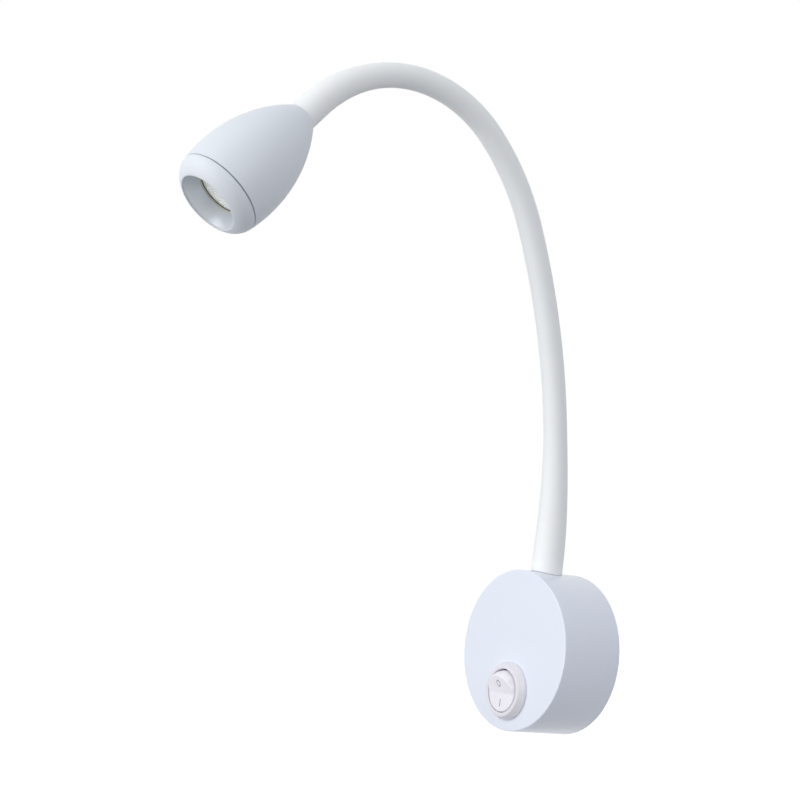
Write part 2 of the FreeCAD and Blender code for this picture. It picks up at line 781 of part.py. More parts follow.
def make_neck_foot():
    """Hollow threaded fitting in the base's wall, with its washer and nut inside."""
    radius, bore = "nipple_diameter/2", "link_bore/2"
    core, slim = "sleeve_bore/2-core_gap", "link_diameter/2"
    top = "first_pivot-link_gap/2"
    fitting = turned("neck_foot_fitting", [
        (bore, "-nipple_length"),
        (radius, "-nipple_length"),
        (radius, "sleeve_seat_gap"),
        (core, "sleeve_seat_gap"),
        (core, "fitting_core_length"),
        (slim, "fitting_core_length"),
        (slim, f"{top}-link_bevel"),
        ("link_face_diameter/2", top),
        (bore, top),
    ])
    # the wall is round inside, so the washer's rim touches it first and the nut stands below
    seat = "sqrt((base_diameter/2-base_wall)^2-(washer_diameter/2)^2)-base_diameter/2"
    washer = turned("foot_washer", [
        (f"{radius}+nipple_gap", f"{seat}-washer_thickness"),
        ("washer_diameter/2", f"{seat}-washer_thickness"),
        ("washer_diameter/2", seat),
        (f"{radius}+nipple_gap", seat),
    ])
    nut = make_nut("foot_nut", f"{seat}-washer_thickness-nut_height")
    for piece in (fitting, washer, nut):
        piece.Placement = path.place(0)
        keep(piece)


def make_nut(label, bottom):
    """Hexagon nut round the neck's axis, its lower face at a height."""
    corner, flat = "nut_across_flats/sqrt(3)", "nut_across_flats/2"
    hexagon = [
        (corner, "0"), (f"{corner}/2", flat), (f"-{corner}/2", flat),
        (f"-{corner}", "0"), (f"-{corner}/2", f"-{flat}"), (f"{corner}/2", f"-{flat}"),
    ]
    nut = padded(label, "XY_Plane", lambda s: draw_outline(s, hexagon), "nut_height", Placement(), bottom)
    hole = "nipple_diameter/2+nipple_gap"
    pocket(nut, "XY_Plane", lambda s: draw_circle(s, "0", "0", hole), "nut_height+cut_over*2",
           f"{bottom}+nut_height+cut_over")
    return nut


def pivot_runs():
    """How far along the neck each pivot lies, longer links in the lower, nearly straight half."""
    runs = [size("first_pivot")]
    for _ in range(int(size("lower_link_count"))):
        runs.append(runs[-1] + size("lower_link_length"))
    upper = int(size("upper_link_count"))
    step = (path.length - size("last_pivot") - runs[-1]) / upper
    runs.extend([runs[-1] + step * (i + 1) for i in range(upper)])
    return runs


def make_links():
    """The core's links, each a short tube between two pivots with bevelled ends."""
    points = [path.at(run)[0] for run in pivot_runs()]
    bore, outer, face = "link_bore/2", "link_diameter/2", "link_face_diameter/2"
    for number, (start, end) in enumerate(zip(points, points[1:]), start=1):
        length = (end - start).Length
        link = turned(f"neck_link_{number:02d}", [
            (bore, "link_gap/2"),
            (face, "link_gap/2"),
            (outer, "link_gap/2+link_bevel"),
            (outer, f"{length}-link_gap/2-link_bevel"),
            (face, f"{length}-link_gap/2"),
            (bore, f"{length}-link_gap/2"),
        ])
        turn = math.degrees(math.atan2(start.y - end.y, end.z - start.z))
        link.Placement = Placement(start, Rotation(Vector(1, 0, 0), turn))
        keep(link)


TAPER_STEPS = 5


def tapered(start, end, radius_start, radius_end):
    """A round bar along the neck that swells or narrows smoothly between two lengths run."""
    rings = []
    for i in range(TAPER_STEPS + 1):
        share = i / TAPER_STEPS
        ease = share * share * (3 - 2 * share)
        place = path.place(start + (end - start) * share)
        axis = place.Rotation.multVec(Vector(0, 0, 1))
        radius = radius_start + (radius_end - radius_start) * ease
        rings.append(Part.Wire([Part.makeCircle(radius, place.Base, axis)]))
    return Part.makeLoft(rings, True, False)


def make_sleeve_and_lead():
    """The soft sleeve from the base to the head, and the lamp's lead inside it."""
    middle = size("neck_diameter/2")
    foot_end = size("neck_foot_taper")
    head_start = path.length - size("neck_head_taper")
    head_end = path.length - size("sleeve_seat_gap")
    foot = tapered(0, foot_end, size("neck_foot_diameter/2"), middle)
    shaft = path.pipe(foot_end, head_start, middle)
    top = tapered(head_start, head_end, middle, size("neck_head_diameter/2"))
    # the foot reaches down round the base's curved wall, a little clear of it
    fall = "base_diameter/2-sqrt((base_diameter/2)^2-(neck_foot_diameter/2)^2)"
    skirt_height = size(f"{fall}+cut_over")
    skirt = Part.makeCylinder(size("neck_foot_diameter/2"), skirt_height,
                              path.foot - Vector(0, 0, skirt_height))
    drum = Part.makeCylinder(size("base_diameter/2+sleeve_seat_gap"), size("base_depth+cut_over*2"),
                             Vector(0, size("cut_over"), 0), Vector(0, -1, 0))
    bore = path.pipe(-skirt_height - size("cut_over"), path.length, size("sleeve_bore/2"))
    bar = foot.fuse([skirt, shaft, top])
    keep(shape_of("neck_sleeve", bar.cut([drum, bore]).removeSplitter().Solids[0]))
    below = size("base_diameter/2-driver_rise-driver_height/2")
    inside = size("head_length-head_shoulder_place+sink_thickness-stack_gap")
    lead = path.pipe(-below, path.length + inside, size("lead_diameter/2"))
    keep(shape_of("neck_lead", lead))


# ---- Head ------------------------------------------------------------------------------------

# In the head's own frame the origin is the centre of the mouth's rim and z runs back along the
# head's axis to the tail, where the neck joins it.
IN_HEAD = path.place(path.length) * Placement(
    Vector(0, 0, size("head_length")), Rotation(Vector(1, 0, 0), 180))

# the parts behind the mouth are clamped in a stack, each of these the place of one's front
RING = "(bezel_lip+cone_length+stack_gap)"
LENS = "(bezel_lip+cone_length+trim_ring_thickness+stack_gap*2)"
BOARD = "(head_shoulder_place-sink_thickness-led_board_thickness)"


def ogive(place):
    """The head's outer radius at a place behind the rim."""
    return f"(head_diameter/2-head_bulge_radius+sqrt(head_bulge_radius^2-(({place})-head_bulge_place)^2))"


def make_head_shell():
    """Ogive shell: a threaded bore in front, a shoulder for the heat sink, a solid tail."""
    seam = "head_seam_place+head_seam_gap/2"
    tail = "head_length-head_tail_wall"
    hole = "nipple_diameter/2+nipple_gap"
    keep(turned("head_shell", [
        ("head_bore/2", seam),
        (ogive(seam), seam, "head_bulge_radius"),
        (ogive("head_length"), "head_length"),
        (hole, "head_length"),
        (hole, tail),
        ("head_tail_cavity/2", tail, "-head_bulge_radius"),
        ("head_bore/2-head_shoulder", "head_shoulder_place"),
        ("head_bore/2", "head_shoulder_place"),
    ], IN_HEAD))


def make_head_fitting():
    """Hollow threaded fitting between the neck's core and the head's tail, with its nut."""
    bore, thread = "link_bore/2", "nipple_diameter/2"
    core, slim = "sleeve_bore/2-core_gap", "link_diameter/2"
    tail = "head_length-head_tail_wall-nut_height-thread_gap"
    end = "head_length+last_pivot-link_gap/2"
    run = "head_length+fitting_core_length"
    fitting = turned("head_fitting", [
        (bore, f"{tail}-thread_end"),
        (thread, f"{tail}-thread_end"),
        (thread, "head_length+stack_gap"),
        (core, "head_length+stack_gap"),
        (core, run),
        (slim, run),
        (slim, f"{end}-link_bevel"),
        ("link_face_diameter/2", end),
        (bore, end),
    ], IN_HEAD)
    nut = make_nut("head_nut", tail)
    nut.Placement = IN_HEAD
    keep(fitting, nut)


def make_heat_sink():
    """Turned aluminium disc against the shoulder, its rim slotted, with a hub behind."""
    radius, hole = "(head_bore/2-bezel_spigot_gap)", "lead_diameter/2+lead_gap"
    front, back = "head_shoulder_place-sink_thickness", "head_shoulder_place"
    sink = turned("heat_sink", [
        (hole, front),
        (radius, front),
        (radius, back),
        ("sink_hub_diameter/2", back),
        ("sink_hub_diameter/2", f"{back}+sink_hub_length"),
        (hole, f"{back}+sink_hub_length"),
    ], IN_HEAD)
    screw = "board_screw_diameter/2+thread_gap"
    pocket(sink, "XY_Plane", lambda s: draw_screws(s, screw), "board_screw_length", front, True)
    slot = rectangle(f"{radius}-sink_fin_depth", "-sink_fin_slot/2",
                     f"{radius}+cut_over", "sink_fin_slot/2")
    cut = pocket(sink, "XY_Plane", lambda s: draw_outline(s, slot), "sink_thickness+cut_over*2",
                 f"{back}+cut_over")
    fins = sink.newObject("PartDesign::PolarPattern", "Fins")
    fins.Originals = [cut]
    fins.Axis = (cut.Profile[0], ["N_Axis"])
    fins.Angle = 360
    fins.setExpression("Occurrences", bound("sink_fin_count"))
    sink.Tip = fins
    doc.recompute()
    keep(sink)


def draw_screws(sketch, radius):
    """The two board screws' circles, between the heat sink's slots."""
    for side in ("1", "-1"):
        across = f"{side}*board_screw_circle/2*cos(180/sink_fin_count)"
        up = f"{side}*board_screw_circle/2*sin(180/sink_fin_count)"
        draw_circle(sketch, across, up, radius)


def make_light_source():
    """Round board on the heat sink, the emitter on it and its two screws."""
    board = padded("led_board", "XY_Plane", lambda s: draw_circle(s, "0", "0", "led_board_diameter/2"),
                   "led_board_thickness", IN_HEAD, BOARD)
    hole = "board_screw_diameter/2+thread_gap"
    pocket(board, "XY_Plane", lambda s: draw_screws(s, hole), "led_board_thickness+cut_over*2",
           f"{BOARD}-cut_over", True)
    half = "emitter_size/2"
    emitter = padded("led_emitter", "XY_Plane", lambda s: draw_outline(s, rectangle(
        f"-{half}", f"-{half}", half, half)), "emitter_height", IN_HEAD, f"{BOARD}-emitter_height")
    screws = new_body("board_screws", IN_HEAD)
    screws.AllowCompound = True
    pad(screws, "XY_Plane", lambda s: draw_screws(s, "board_screw_head/2"),
        "board_screw_head_height", f"{BOARD}-board_screw_head_height")
    pad(screws, "XY_Plane", lambda s: draw_screws(s, "board_screw_diameter/2"),
        "board_screw_length", f"{BOARD}")
    keep(board, emitter, screws)


def make_optics():
    """Holder cup, collimator lens, thin metal ring and the reflector cone before it."""
    seat, body = "lens_diameter/2+lens_seat_gap", "lens_body_diameter/2+lens_seat_gap"
    outer = "holder_diameter/2"
    foot = f"{BOARD}-stack_gap"
    step = f"{LENS}+lens_flange+stack_gap"
    keep(turned("lens_holder", [
        (seat, LENS),
        (outer, LENS),
        (outer, foot),
        ("holder_window/2", foot),
        ("holder_window/2", f"{foot}-holder_floor"),
        (body, f"{foot}-holder_floor"),
        (body, step),
        (seat, step),
    ], IN_HEAD))
    rim, tip, end = "lens_diameter/2", "lens_tip_diameter/2", f"{LENS}+lens_length"
    keep(turned("lens", [
        ("0", LENS),
        (rim, LENS),
        (rim, f"{LENS}+lens_flange"),
        ("lens_body_diameter/2", f"{LENS}+lens_flange"),
        (tip, end),
        ("lens_recess_diameter/2", end),
        ("lens_recess_diameter/2", f"{end}-lens_recess_depth"),
        ("0", f"{end}-lens_recess_depth"),
    ], IN_HEAD))
    inner = "cone_exit_diameter/2-trim_ring_show"
    keep(turned("trim_ring", [
        (inner, RING),
        ("trim_ring_diameter/2", RING),
        ("trim_ring_diameter/2", f"{RING}+trim_ring_thickness"),
        (inner, f"{RING}+trim_ring_thickness"),
    ], IN_HEAD))
    front, back = "bezel_lip+stack_gap", "bezel_lip+cone_length"
    shelf = f"{front}+bezel_step"
    rim, flange = "mouth_diameter/2+cone_wall", "bezel_bore/2-lens_seat_gap"
    keep(turned("reflector_cone", [
        ("mouth_diameter/2", front),
        (rim, front),
        (rim, shelf),
        (flange, shelf),
        (flange, f"{shelf}+cone_wall"),
        (rim, f"{shelf}+cone_wall"),
        ("cone_exit_diameter/2+cone_wall", back),
        ("cone_exit_diameter/2", back),
    ], IN_HEAD))


def make_bezel():
    """Screwed front ring that takes over the shell's curve and rounds over to the mouth.

    Its bore is stepped, since the wall round the mouth leaves room for the cone's rim alone.
    """
    spigot, rim = "head_bore/2-bezel_spigot_gap", "mouth_diameter/2+cone_wall+lens_seat_gap"
    keep(turned("bezel_ring", [
        ("mouth_diameter/2", "0"),
        ("mouth_diameter/2+bezel_flat", "0", "bezel_round"),
        (ogive("bezel_seam"), "bezel_seam"),
        (spigot, "bezel_seam"),
        (spigot, "head_seam_place+bezel_spigot_length"),
        ("bezel_bore/2", "head_seam_place+bezel_spigot_length"),
        ("bezel_bore/2", "bezel_lip+bezel_step"),
        (rim, "bezel_lip+bezel_step"),
        (rim, "bezel_lip"),
        ("mouth_diameter/2", "bezel_lip"),
    ], IN_HEAD))


# ---- The whole lamp --------------------------------------------------------------------------

def check_and_write():
    """Stop on a failed feature or an invalid piece, then write each piece to its own file."""
    doc.recompute()
    for each in doc.Objects:
        if {"Invalid", "Error"} & set(each.State):
            raise ValueError(f"{each.Label} failed: {each.State}")
    for piece in pieces:
        if piece.Shape.isNull() or not piece.Shape.isValid():
            raise ValueError(f"{piece.Label} has no valid shape")
    os.makedirs("parts", exist_ok=True)
    for piece in pieces:
        piece.Shape.exportStep(f"parts/{piece.Label}.step")
    print(len(pieces), "pieces; neck length", round(path.length, 1))


make_housing()
make_dish()
make_dish_fittings()
make_terminal_block()
make_driver()
make_switch_body()
make_rocker()
make_switch_terminals()
make_neck_foot()
make_links()
make_sleeve_and_lead()
make_head_shell()
make_head_fitting()
make_heat_sink()
make_light_source()
make_optics()
make_bezel()
check_and_write()
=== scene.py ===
"""Bedside wall reading lamp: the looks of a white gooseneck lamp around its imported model.

The lamp hangs on the wall plane Y = 0 and stands out of it towards -Y. The base is a drum with a
round rocker switch in its face, the neck rises from the drum's side and arches over, and the head
is an ogive shell with a screwed front ring round a reflector cone and a honeycomb lens.

The classes of the lamp's own parts hold their sizes in millimetres and their angles in degrees.
"""

import json
import logging
import math
from dataclasses import dataclass
from enum import Enum
from typing import Callable, Optional, Sequence

import bmesh
import bpy
from mathutils import Matrix, Vector

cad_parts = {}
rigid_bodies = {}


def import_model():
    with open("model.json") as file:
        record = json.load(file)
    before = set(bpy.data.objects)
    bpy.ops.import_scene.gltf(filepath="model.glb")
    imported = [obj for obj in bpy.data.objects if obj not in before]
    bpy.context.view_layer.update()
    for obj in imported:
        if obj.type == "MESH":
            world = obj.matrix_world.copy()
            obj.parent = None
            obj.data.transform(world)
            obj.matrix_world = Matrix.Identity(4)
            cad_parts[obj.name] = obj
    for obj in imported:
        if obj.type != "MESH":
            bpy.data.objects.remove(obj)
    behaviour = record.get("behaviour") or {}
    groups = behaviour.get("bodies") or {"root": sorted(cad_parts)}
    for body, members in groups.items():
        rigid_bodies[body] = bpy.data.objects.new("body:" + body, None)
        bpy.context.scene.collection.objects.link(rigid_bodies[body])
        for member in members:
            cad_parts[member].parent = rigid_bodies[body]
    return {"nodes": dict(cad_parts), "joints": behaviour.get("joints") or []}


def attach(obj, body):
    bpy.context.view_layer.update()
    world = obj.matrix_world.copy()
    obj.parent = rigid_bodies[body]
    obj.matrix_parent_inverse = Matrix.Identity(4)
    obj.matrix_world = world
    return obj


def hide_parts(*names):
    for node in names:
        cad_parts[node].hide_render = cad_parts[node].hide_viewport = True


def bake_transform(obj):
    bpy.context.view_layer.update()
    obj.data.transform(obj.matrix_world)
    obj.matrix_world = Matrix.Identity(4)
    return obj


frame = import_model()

LOG = logging.getLogger("wall_reading_lamp")
MM = 0.001
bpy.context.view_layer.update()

ProfilePoint = tuple[float, float, float]
EdgeLoop = list[bmesh.types.BMEdge]

# Shared by every finish, in millimetres where they are sizes.
DRIFT_SIZE = 18.0
ROUGHNESS_SPREAD = 0.05
LEAST_ROUGHNESS = 0.02
COAT_ROUGHNESS = 0.12
SOAK_DEPTH = 1.2
# The wave texture draws 20 / (2 pi), so about 3.2, rings for each unit of its scale. Turning marks
# are too fine to show in the render, so this draws them about twice as coarse as they are.
RING_COARSENESS = 6
WHITE = (1, 1, 1, 1)

# Shared by every mesh: points closer than this are one (metres), smaller slivers go (metres), and
# edges that turn by more than this stay sharp (degrees).
WELD_DISTANCE = 1e-6
SLIVER_DISTANCE = 1e-7
SHARP_ANGLE = 32.0


# ---- Colours and shader nodes ------------------------------------------------------------------

def linear(hex_colour: str) -> tuple[float, float, float, float]:
    """Turn an sRGB hex colour into the linear values that shaders take.

    Args:
        hex_colour: Six hex digits, with or without a leading hash.

    Returns:
        Linear red, green and blue, with an alpha of 1.
    """
    digits = hex_colour.lstrip("#")
    values = [int(digits[i:i + 2], 16) / 255 for i in (0, 2, 4)]
    channels = [v / 12.92 if v <= 0.04045 else ((v + 0.055) / 1.055) ** 2.4 for v in values]
    return channels[0], channels[1], channels[2], 1.0


def add_node(tree: bpy.types.NodeTree, kind: str, settings: Optional[dict] = None,
             inputs: Optional[dict] = None) -> bpy.types.Node:
    """Add one shader node with its settings, plain values and links.

    Args:
        tree: The material's or world's node tree.
        kind: The node's type, such as ShaderNodeTexNoise.
        settings: Properties of the node itself.
        inputs: Socket name or index to a plain value, or to an output socket to link from.

    Returns:
        The new node.
    """
    node = tree.nodes.new(kind)
    for name, value in (settings or {}).items():
        setattr(node, name, value)
    for name, value in (inputs or {}).items():
        if isinstance(value, bpy.types.NodeSocket):
            tree.links.new(value, node.inputs[name])
        else:
            node.inputs[name].default_value = value
    return node


class Grain(Enum):
    """How a surface's fine texture runs."""

    PEEL = "orange peel of sprayed or powder paint"
    SATIN = "even matt bloom of moulded rubber or plastic"
    TURNED = "fine rings left by a lathe"
    PLATED = "dull spangle of zinc plating"


@dataclass(frozen=True)
class Finish:
    """One surface finish: what the part is made of and how it was made.

    Sizes are in millimetres; bump is how far the texture stands out.
    """

    name: str
    colour: str
    roughness: float
    grain: Grain = Grain.SATIN
    grain_size: float = 0.6
    bump: float = 0.01
    shade: str = ""
    metallic: float = 0.0
    ior: float = 1.5
    coat: float = 0.0
    sheen: float = 0.0
    transmission: float = 0.0
    subsurface: float = 0.0
    emission: float = 0.0

    def material(self) -> bpy.types.Material:
        """Return this finish's material, made on first use."""
        found = bpy.data.materials.get(self.name)
        return found if found else self._build()

    def _build(self) -> bpy.types.Material:
        """Build the node tree: colour drift, roughness drift and fine bump on one shader.

        Returns:
            The new material.
        """
        material = bpy.data.materials.new(self.name)
        material.use_nodes = True
        tree = material.node_tree
        tree.nodes.clear()
        place = add_node(tree, "ShaderNodeTexCoord").outputs["Object"]
        fine = self._fine_pattern(tree, place)
        drift = add_node(tree, "ShaderNodeTexNoise", inputs={
            "Vector": place, "Scale": 1 / (DRIFT_SIZE * MM), "Detail": 2.0, "Roughness": 0.5})
        tint = add_node(tree, "ShaderNodeMix", {"data_type": "RGBA"}, {
            "Factor": drift.outputs["Fac"], "A": linear(self.colour),
            "B": linear(self.shade or self.colour)})
        rough = add_node(tree, "ShaderNodeMapRange", inputs={
            "Value": fine, "To Min": max(self.roughness - ROUGHNESS_SPREAD, LEAST_ROUGHNESS),
            "To Max": min(self.roughness + ROUGHNESS_SPREAD, 1.0)})
        bump = add_node(tree, "ShaderNodeBump", inputs={
            "Height": fine, "Distance": self.bump * MM, "Strength": 1.0})
        shader = add_node(tree, "ShaderNodeBsdfPrincipled", inputs={
            "Base Color": tint.outputs["Result"], "Roughness": rough.outputs["Result"],
            "Normal": bump.outputs["Normal"], "Metallic": self.metallic, "IOR": self.ior,
            "Coat Weight": self.coat, "Coat Roughness": COAT_ROUGHNESS, "Sheen Weight": self.sheen,
            "Transmission Weight": self.transmission, "Subsurface Weight": self.subsurface,
            "Subsurface Scale": SOAK_DEPTH * MM, "Emission Strength": self.emission,
            "Emission Color": linear(self.colour)})
        add_node(tree, "ShaderNodeOutputMaterial", inputs={"Surface": shader.outputs["BSDF"]})
        return material

    def _fine_pattern(self, tree: bpy.types.NodeTree,
                      place: bpy.types.NodeSocket) -> bpy.types.NodeSocket:
        """Add the fine texture of this finish.

        Args:
            tree: The material's node tree.
            place: Object coordinates.

        Returns:
            The texture's height, from 0 to 1.
        """
        scale = 1 / (self.grain_size * MM)
        if self.grain is Grain.TURNED:
            rings = add_node(tree, "ShaderNodeTexWave", {
                "wave_type": "RINGS", "rings_direction": "Z", "wave_profile": "SIN"}, {
                "Vector": place, "Scale": scale / RING_COARSENESS, "Distortion": 0.4,
                "Detail": 1.0})
            return rings.outputs["Fac"]
        if self.grain is Grain.PLATED:
            cells = add_node(tree, "ShaderNodeTexVoronoi", {"feature": "SMOOTH_F1"}, {
                "Vector": place, "Scale": scale, "Smoothness": 0.8})
            return cells.outputs["Distance"]
        detail = 1.0 if self.grain is Grain.PEEL else 4.0
        noise = add_node(tree, "ShaderNodeTexNoise", inputs={
            "Vector": place, "Scale": scale, "Detail": detail, "Roughness": 0.45})
        return noise.outputs["Fac"]


# Powder coat is sprayed dry and baked, which leaves a faint orange peel under a satin gloss.
POWDER_COAT = Finish("white_powder_coat", "#EAEEF8", 0.42, Grain.PEEL, 1.1, 0.006, "#E8ECF7",
                     coat=0.5)
# The head has the same paint, a shade greyer and more matt where it was sprayed on the turned
# aluminium.
HEAD_PAINT = Finish("white_head_paint", "#E5E9EE", 0.52, Grain.PEEL, 1.0, 0.006, "#E3E7EC")
# Silicone is matt with a fine even bloom that catches the light at its edges.
SILICONE = Finish("white_silicone", "#FCFDFC", 0.52, Grain.SATIN, 0.35, 0.006, "#FAFBFA",
                  ior=1.41, sheen=0.4, subsurface=0.06)
# The switch's body is satin moulded ABS, a white that is a touch warmer than the paint.
SWITCH_BODY = Finish("switch_body_abs", "#E9E6EB", 0.38, Grain.SATIN, 1.6, 0.003, "#E7E4E9")
# The rocker is moulded of the same ABS in a polished mould, with clear, soft reflections.
SWITCH_ABS = Finish("switch_abs", "#F7F3F8", 0.3, Grain.SATIN, 1.6, 0.003, "#F5F1F6", coat=0.1)
# Printed marks are thin grey ink, matt beside the gloss moulding.
MARK_INK = Finish("mark_ink", "#8E8C93", 0.55, Grain.SATIN, 0.3, 0.002)
# The cone is a smooth vacuum-coated moulding that mirrors the mouth's edge softly.
CONE_GLOSS = Finish("cone_gloss", "#D3D7DB", 0.32, Grain.SATIN, 2.5, 0.003, "#CFD4D9",
                    metallic=0.25)
# The ring's pale brass shows as a thin line round the lens.
PALE_BRASS = Finish("pale_brass", "#DDD5BE", 0.35, Grain.TURNED, 0.3, 0.002, "#D8D0B8",
                    metallic=0.3)
# A thin dark grey ring between the metal ring and the lens is painted shade in the gap there.
LENS_GAP_SHADE = Finish("painted_lens_gap_shade", "#5B5E63", 0.6, Grain.SATIN, 0.4, 0.01)
# The ring in the head's seam stands for the thread; its dark grey is painted shade in the narrow
# gap.
SEAM_SHADE = Finish("painted_seam_shade", "#4E545C", 0.5, Grain.TURNED, 0.5, 0.01, metallic=0.4)
# The holder is moulded white plastic, seen only through the lens.
HOLDER_PLASTIC = Finish("holder_plastic", "#E4E5E6", 0.35, Grain.SATIN, 0.6, 0.004)
# Moulded acrylic, whose many small facets scatter the light so that it looks milky. A faint glow
# stands for the light that goes to and fro inside it.
LENS_ACRYLIC = Finish("lens_acrylic", "#EFF1EE", 0.1, Grain.SATIN, 0.8, 0.001, ior=1.49,
                      transmission=0.15, emission=0.1)
# Phosphor under a drop of silicone, a soft shining yellow.
LED_PHOSPHOR = Finish("led_phosphor", "#F3D36A", 0.3, Grain.SATIN, 0.2, 0.004)
# White solder mask on an aluminium board, smooth and a little glossy.
BOARD_WHITE = Finish("board_white", "#EDEDEA", 0.25, Grain.SATIN, 0.5, 0.002)
# Bare aluminium with the fine rings of the lathe.
TURNED_ALUMINIUM = Finish("turned_aluminium", "#C9CBCE", 0.32, Grain.TURNED, 0.4, 0.004,
                          metallic=1.0)
# Steel with bright zinc plating, which leaves a dull, cloudy spangle.
ZINC_STEEL = Finish("zinc_steel", "#B4B8BD", 0.38, Grain.PLATED, 1.4, 0.003, "#A6AAB0",
                    metallic=1.0)
# The core of wound steel wire, bare and grey, with its turns showing as ridges.
WOUND_STEEL = Finish("wound_steel", "#8E9196", 0.4, Grain.TURNED, 0.9, 0.05, metallic=1.0)
# Bare brass, stamped or turned, bright and warm.
BARE_BRASS = Finish("bare_brass", "#C9A45C", 0.25, Grain.TURNED, 0.3, 0.003, "#C29B52",
                    metallic=1.0)
# The grommet is moulded black rubber, dull and slightly grey at its edges.
INLET_RUBBER = Finish("inlet_rubber", "#3A3B3D", 0.7, Grain.SATIN, 0.4, 0.02)
# The lead's sheath is extruded soft PVC with an even half-matt skin.
LEAD_PVC = Finish("lead_pvc", "#DEDCD8", 0.48, Grain.SATIN, 0.5, 0.008)
# The terminal block is moulded natural nylon, a creamy white.
BLOCK_NYLON = Finish("block_nylon", "#E6E2D6", 0.45, Grain.SATIN, 0.5, 0.008)
# The driver's case is moulded flame-proof plastic with a spark-eroded, matt skin.
DRIVER_PLASTIC = Finish("driver_plastic", "#DFE1E3", 0.5, Grain.SATIN, 0.45, 0.015)
# The tape is foam with open cells, dull and a little uneven.
FOAM_TAPE = Finish("foam_tape", "#BFC0C2", 0.85, Grain.SATIN, 0.3, 0.05)
# Green solder mask on a glass-fibre board, a thin glossy skin over the weave.
SOLDER_MASK = Finish("solder_mask", "#1F6B3C", 0.3, Grain.SATIN, 0.7, 0.004, "#1B6137")
# The driver's components are moulded in black epoxy, half matt.
COMPONENT_BLACK = Finish("component_black", "#1E1F22", 0.5, Grain.SATIN, 0.4, 0.01)

NODE_FINISHES: dict[str, Finish] = {
    "mounting_dish": ZINC_STEEL, "set_screw": ZINC_STEEL, "foot_washer": ZINC_STEEL,
    "foot_nut": ZINC_STEEL, "neck_foot_fitting": ZINC_STEEL, "head_fitting": ZINC_STEEL,
    "head_nut": ZINC_STEEL, "board_screws": ZINC_STEEL, "switch_spring": ZINC_STEEL,
    "terminal_screws": ZINC_STEEL, "earth_screw": BARE_BRASS, "contact_leaf": BARE_BRASS,
    "switch_terminals": BARE_BRASS, "inlet_grommet": INLET_RUBBER, "terminal_block": BLOCK_NYLON,
    "driver_case": DRIVER_PLASTIC, "driver_lid": DRIVER_PLASTIC, "driver_tape": FOAM_TAPE,
    "driver_board": SOLDER_MASK, "driver_components": COMPONENT_BLACK,
    "heat_sink": TURNED_ALUMINIUM, "led_board": BOARD_WHITE, "led_emitter": LED_PHOSPHOR,
    "lens_holder": HOLDER_PLASTIC, "base_housing": POWDER_COAT, "head_shell": HEAD_PAINT,
    "bezel_ring": HEAD_PAINT, "switch_body": SWITCH_BODY, "switch_rocker": SWITCH_ABS,
    "neck_sleeve": SILICONE, "neck_lead": LEAD_PVC, "trim_ring": PALE_BRASS,
    "reflector_cone": CONE_GLOSS, "lens": LENS_ACRYLIC,
}


# ---- Mesh helpers ------------------------------------------------------------------------------

def rounded(corners: Sequence[ProfilePoint], steps: int = 5) -> list[Vector]:
    """Round the corners of a profile with arcs.

    Args:
        corners: Each corner as (radius, height, rounding), in millimetres.
        steps: How many edges each rounded corner gets.

    Returns:
        The profile's points as (radius, 0, height) in metres, closed and in the same order.
    """
    points: list[Vector] = []
    count = len(corners)
    for i, (across, up, radius) in enumerate(corners):
        here = Vector((across, 0, up))
        if radius <= 0:
            points.append(here * MM)
            continue
        before = Vector((corners[i - 1][0], 0, corners[i - 1][1])) - here
        after = Vector((corners[(i + 1) % count][0], 0, corners[(i + 1) % count][1])) - here
        half = before.angle(after) / 2
        reach = radius / math.tan(half)
        inward = (before.normalized() + after.normalized()).normalized()
        middle = here + inward * radius / math.sin(half)
        first = (here + before.normalized() * reach - middle).normalized()
        last = (here + after.normalized() * reach - middle).normalized()
        for k in range(steps + 1):
            points.append((middle + first.slerp(last, k / steps, first) * radius) * MM)
    return points


def arc_points(centre: tuple[float, float], radius: float, start: float, end: float,
               steps: int) -> list[ProfilePoint]:
    """Draw an arc as points of a profile.

    Args:
        centre: The arc's centre as (radius, height), in millimetres.
        radius: Its radius in millimetres.
        start: The angle of its first point from the radius direction, in degrees.
        end: The angle of its last point.
        steps: How many edges it gets.

    Returns:
        The points, none of them rounded.
    """
    points = []
    for k in range(steps + 1):
        angle = math.radians(start + (end - start) * k / steps)
        points.append((centre[0] + radius * math.cos(angle),
                       centre[1] + radius * math.sin(angle), 0.0))
    return points


def spun(profile: Sequence[Vector], steps: int) -> bmesh.types.BMesh:
    """Spin a closed profile a full turn about Z.

    Args:
        profile: Points in the plane Y = 0, in metres.
        steps: How many steps the turn takes.

    Returns:
        A closed mesh whose faces point outwards.
    """
    bm = bmesh.new()
    verts = [bm.verts.new(point) for point in profile]
    edges = [bm.edges.new((verts[i], verts[(i + 1) % len(verts)])) for i in range(len(verts))]
    bmesh.ops.spin(bm, geom=verts + edges, cent=(0, 0, 0), axis=(0, 0, 1), dvec=(0, 0, 0),
                   angle=math.tau, steps=steps, use_merge=True, use_duplicate=False)
    bmesh.ops.remove_doubles(bm, verts=bm.verts, dist=WELD_DISTANCE)
    bmesh.ops.dissolve_degenerate(bm, edges=bm.edges, dist=SLIVER_DISTANCE)
    bmesh.ops.recalc_face_normals(bm, faces=bm.faces)
    return bm


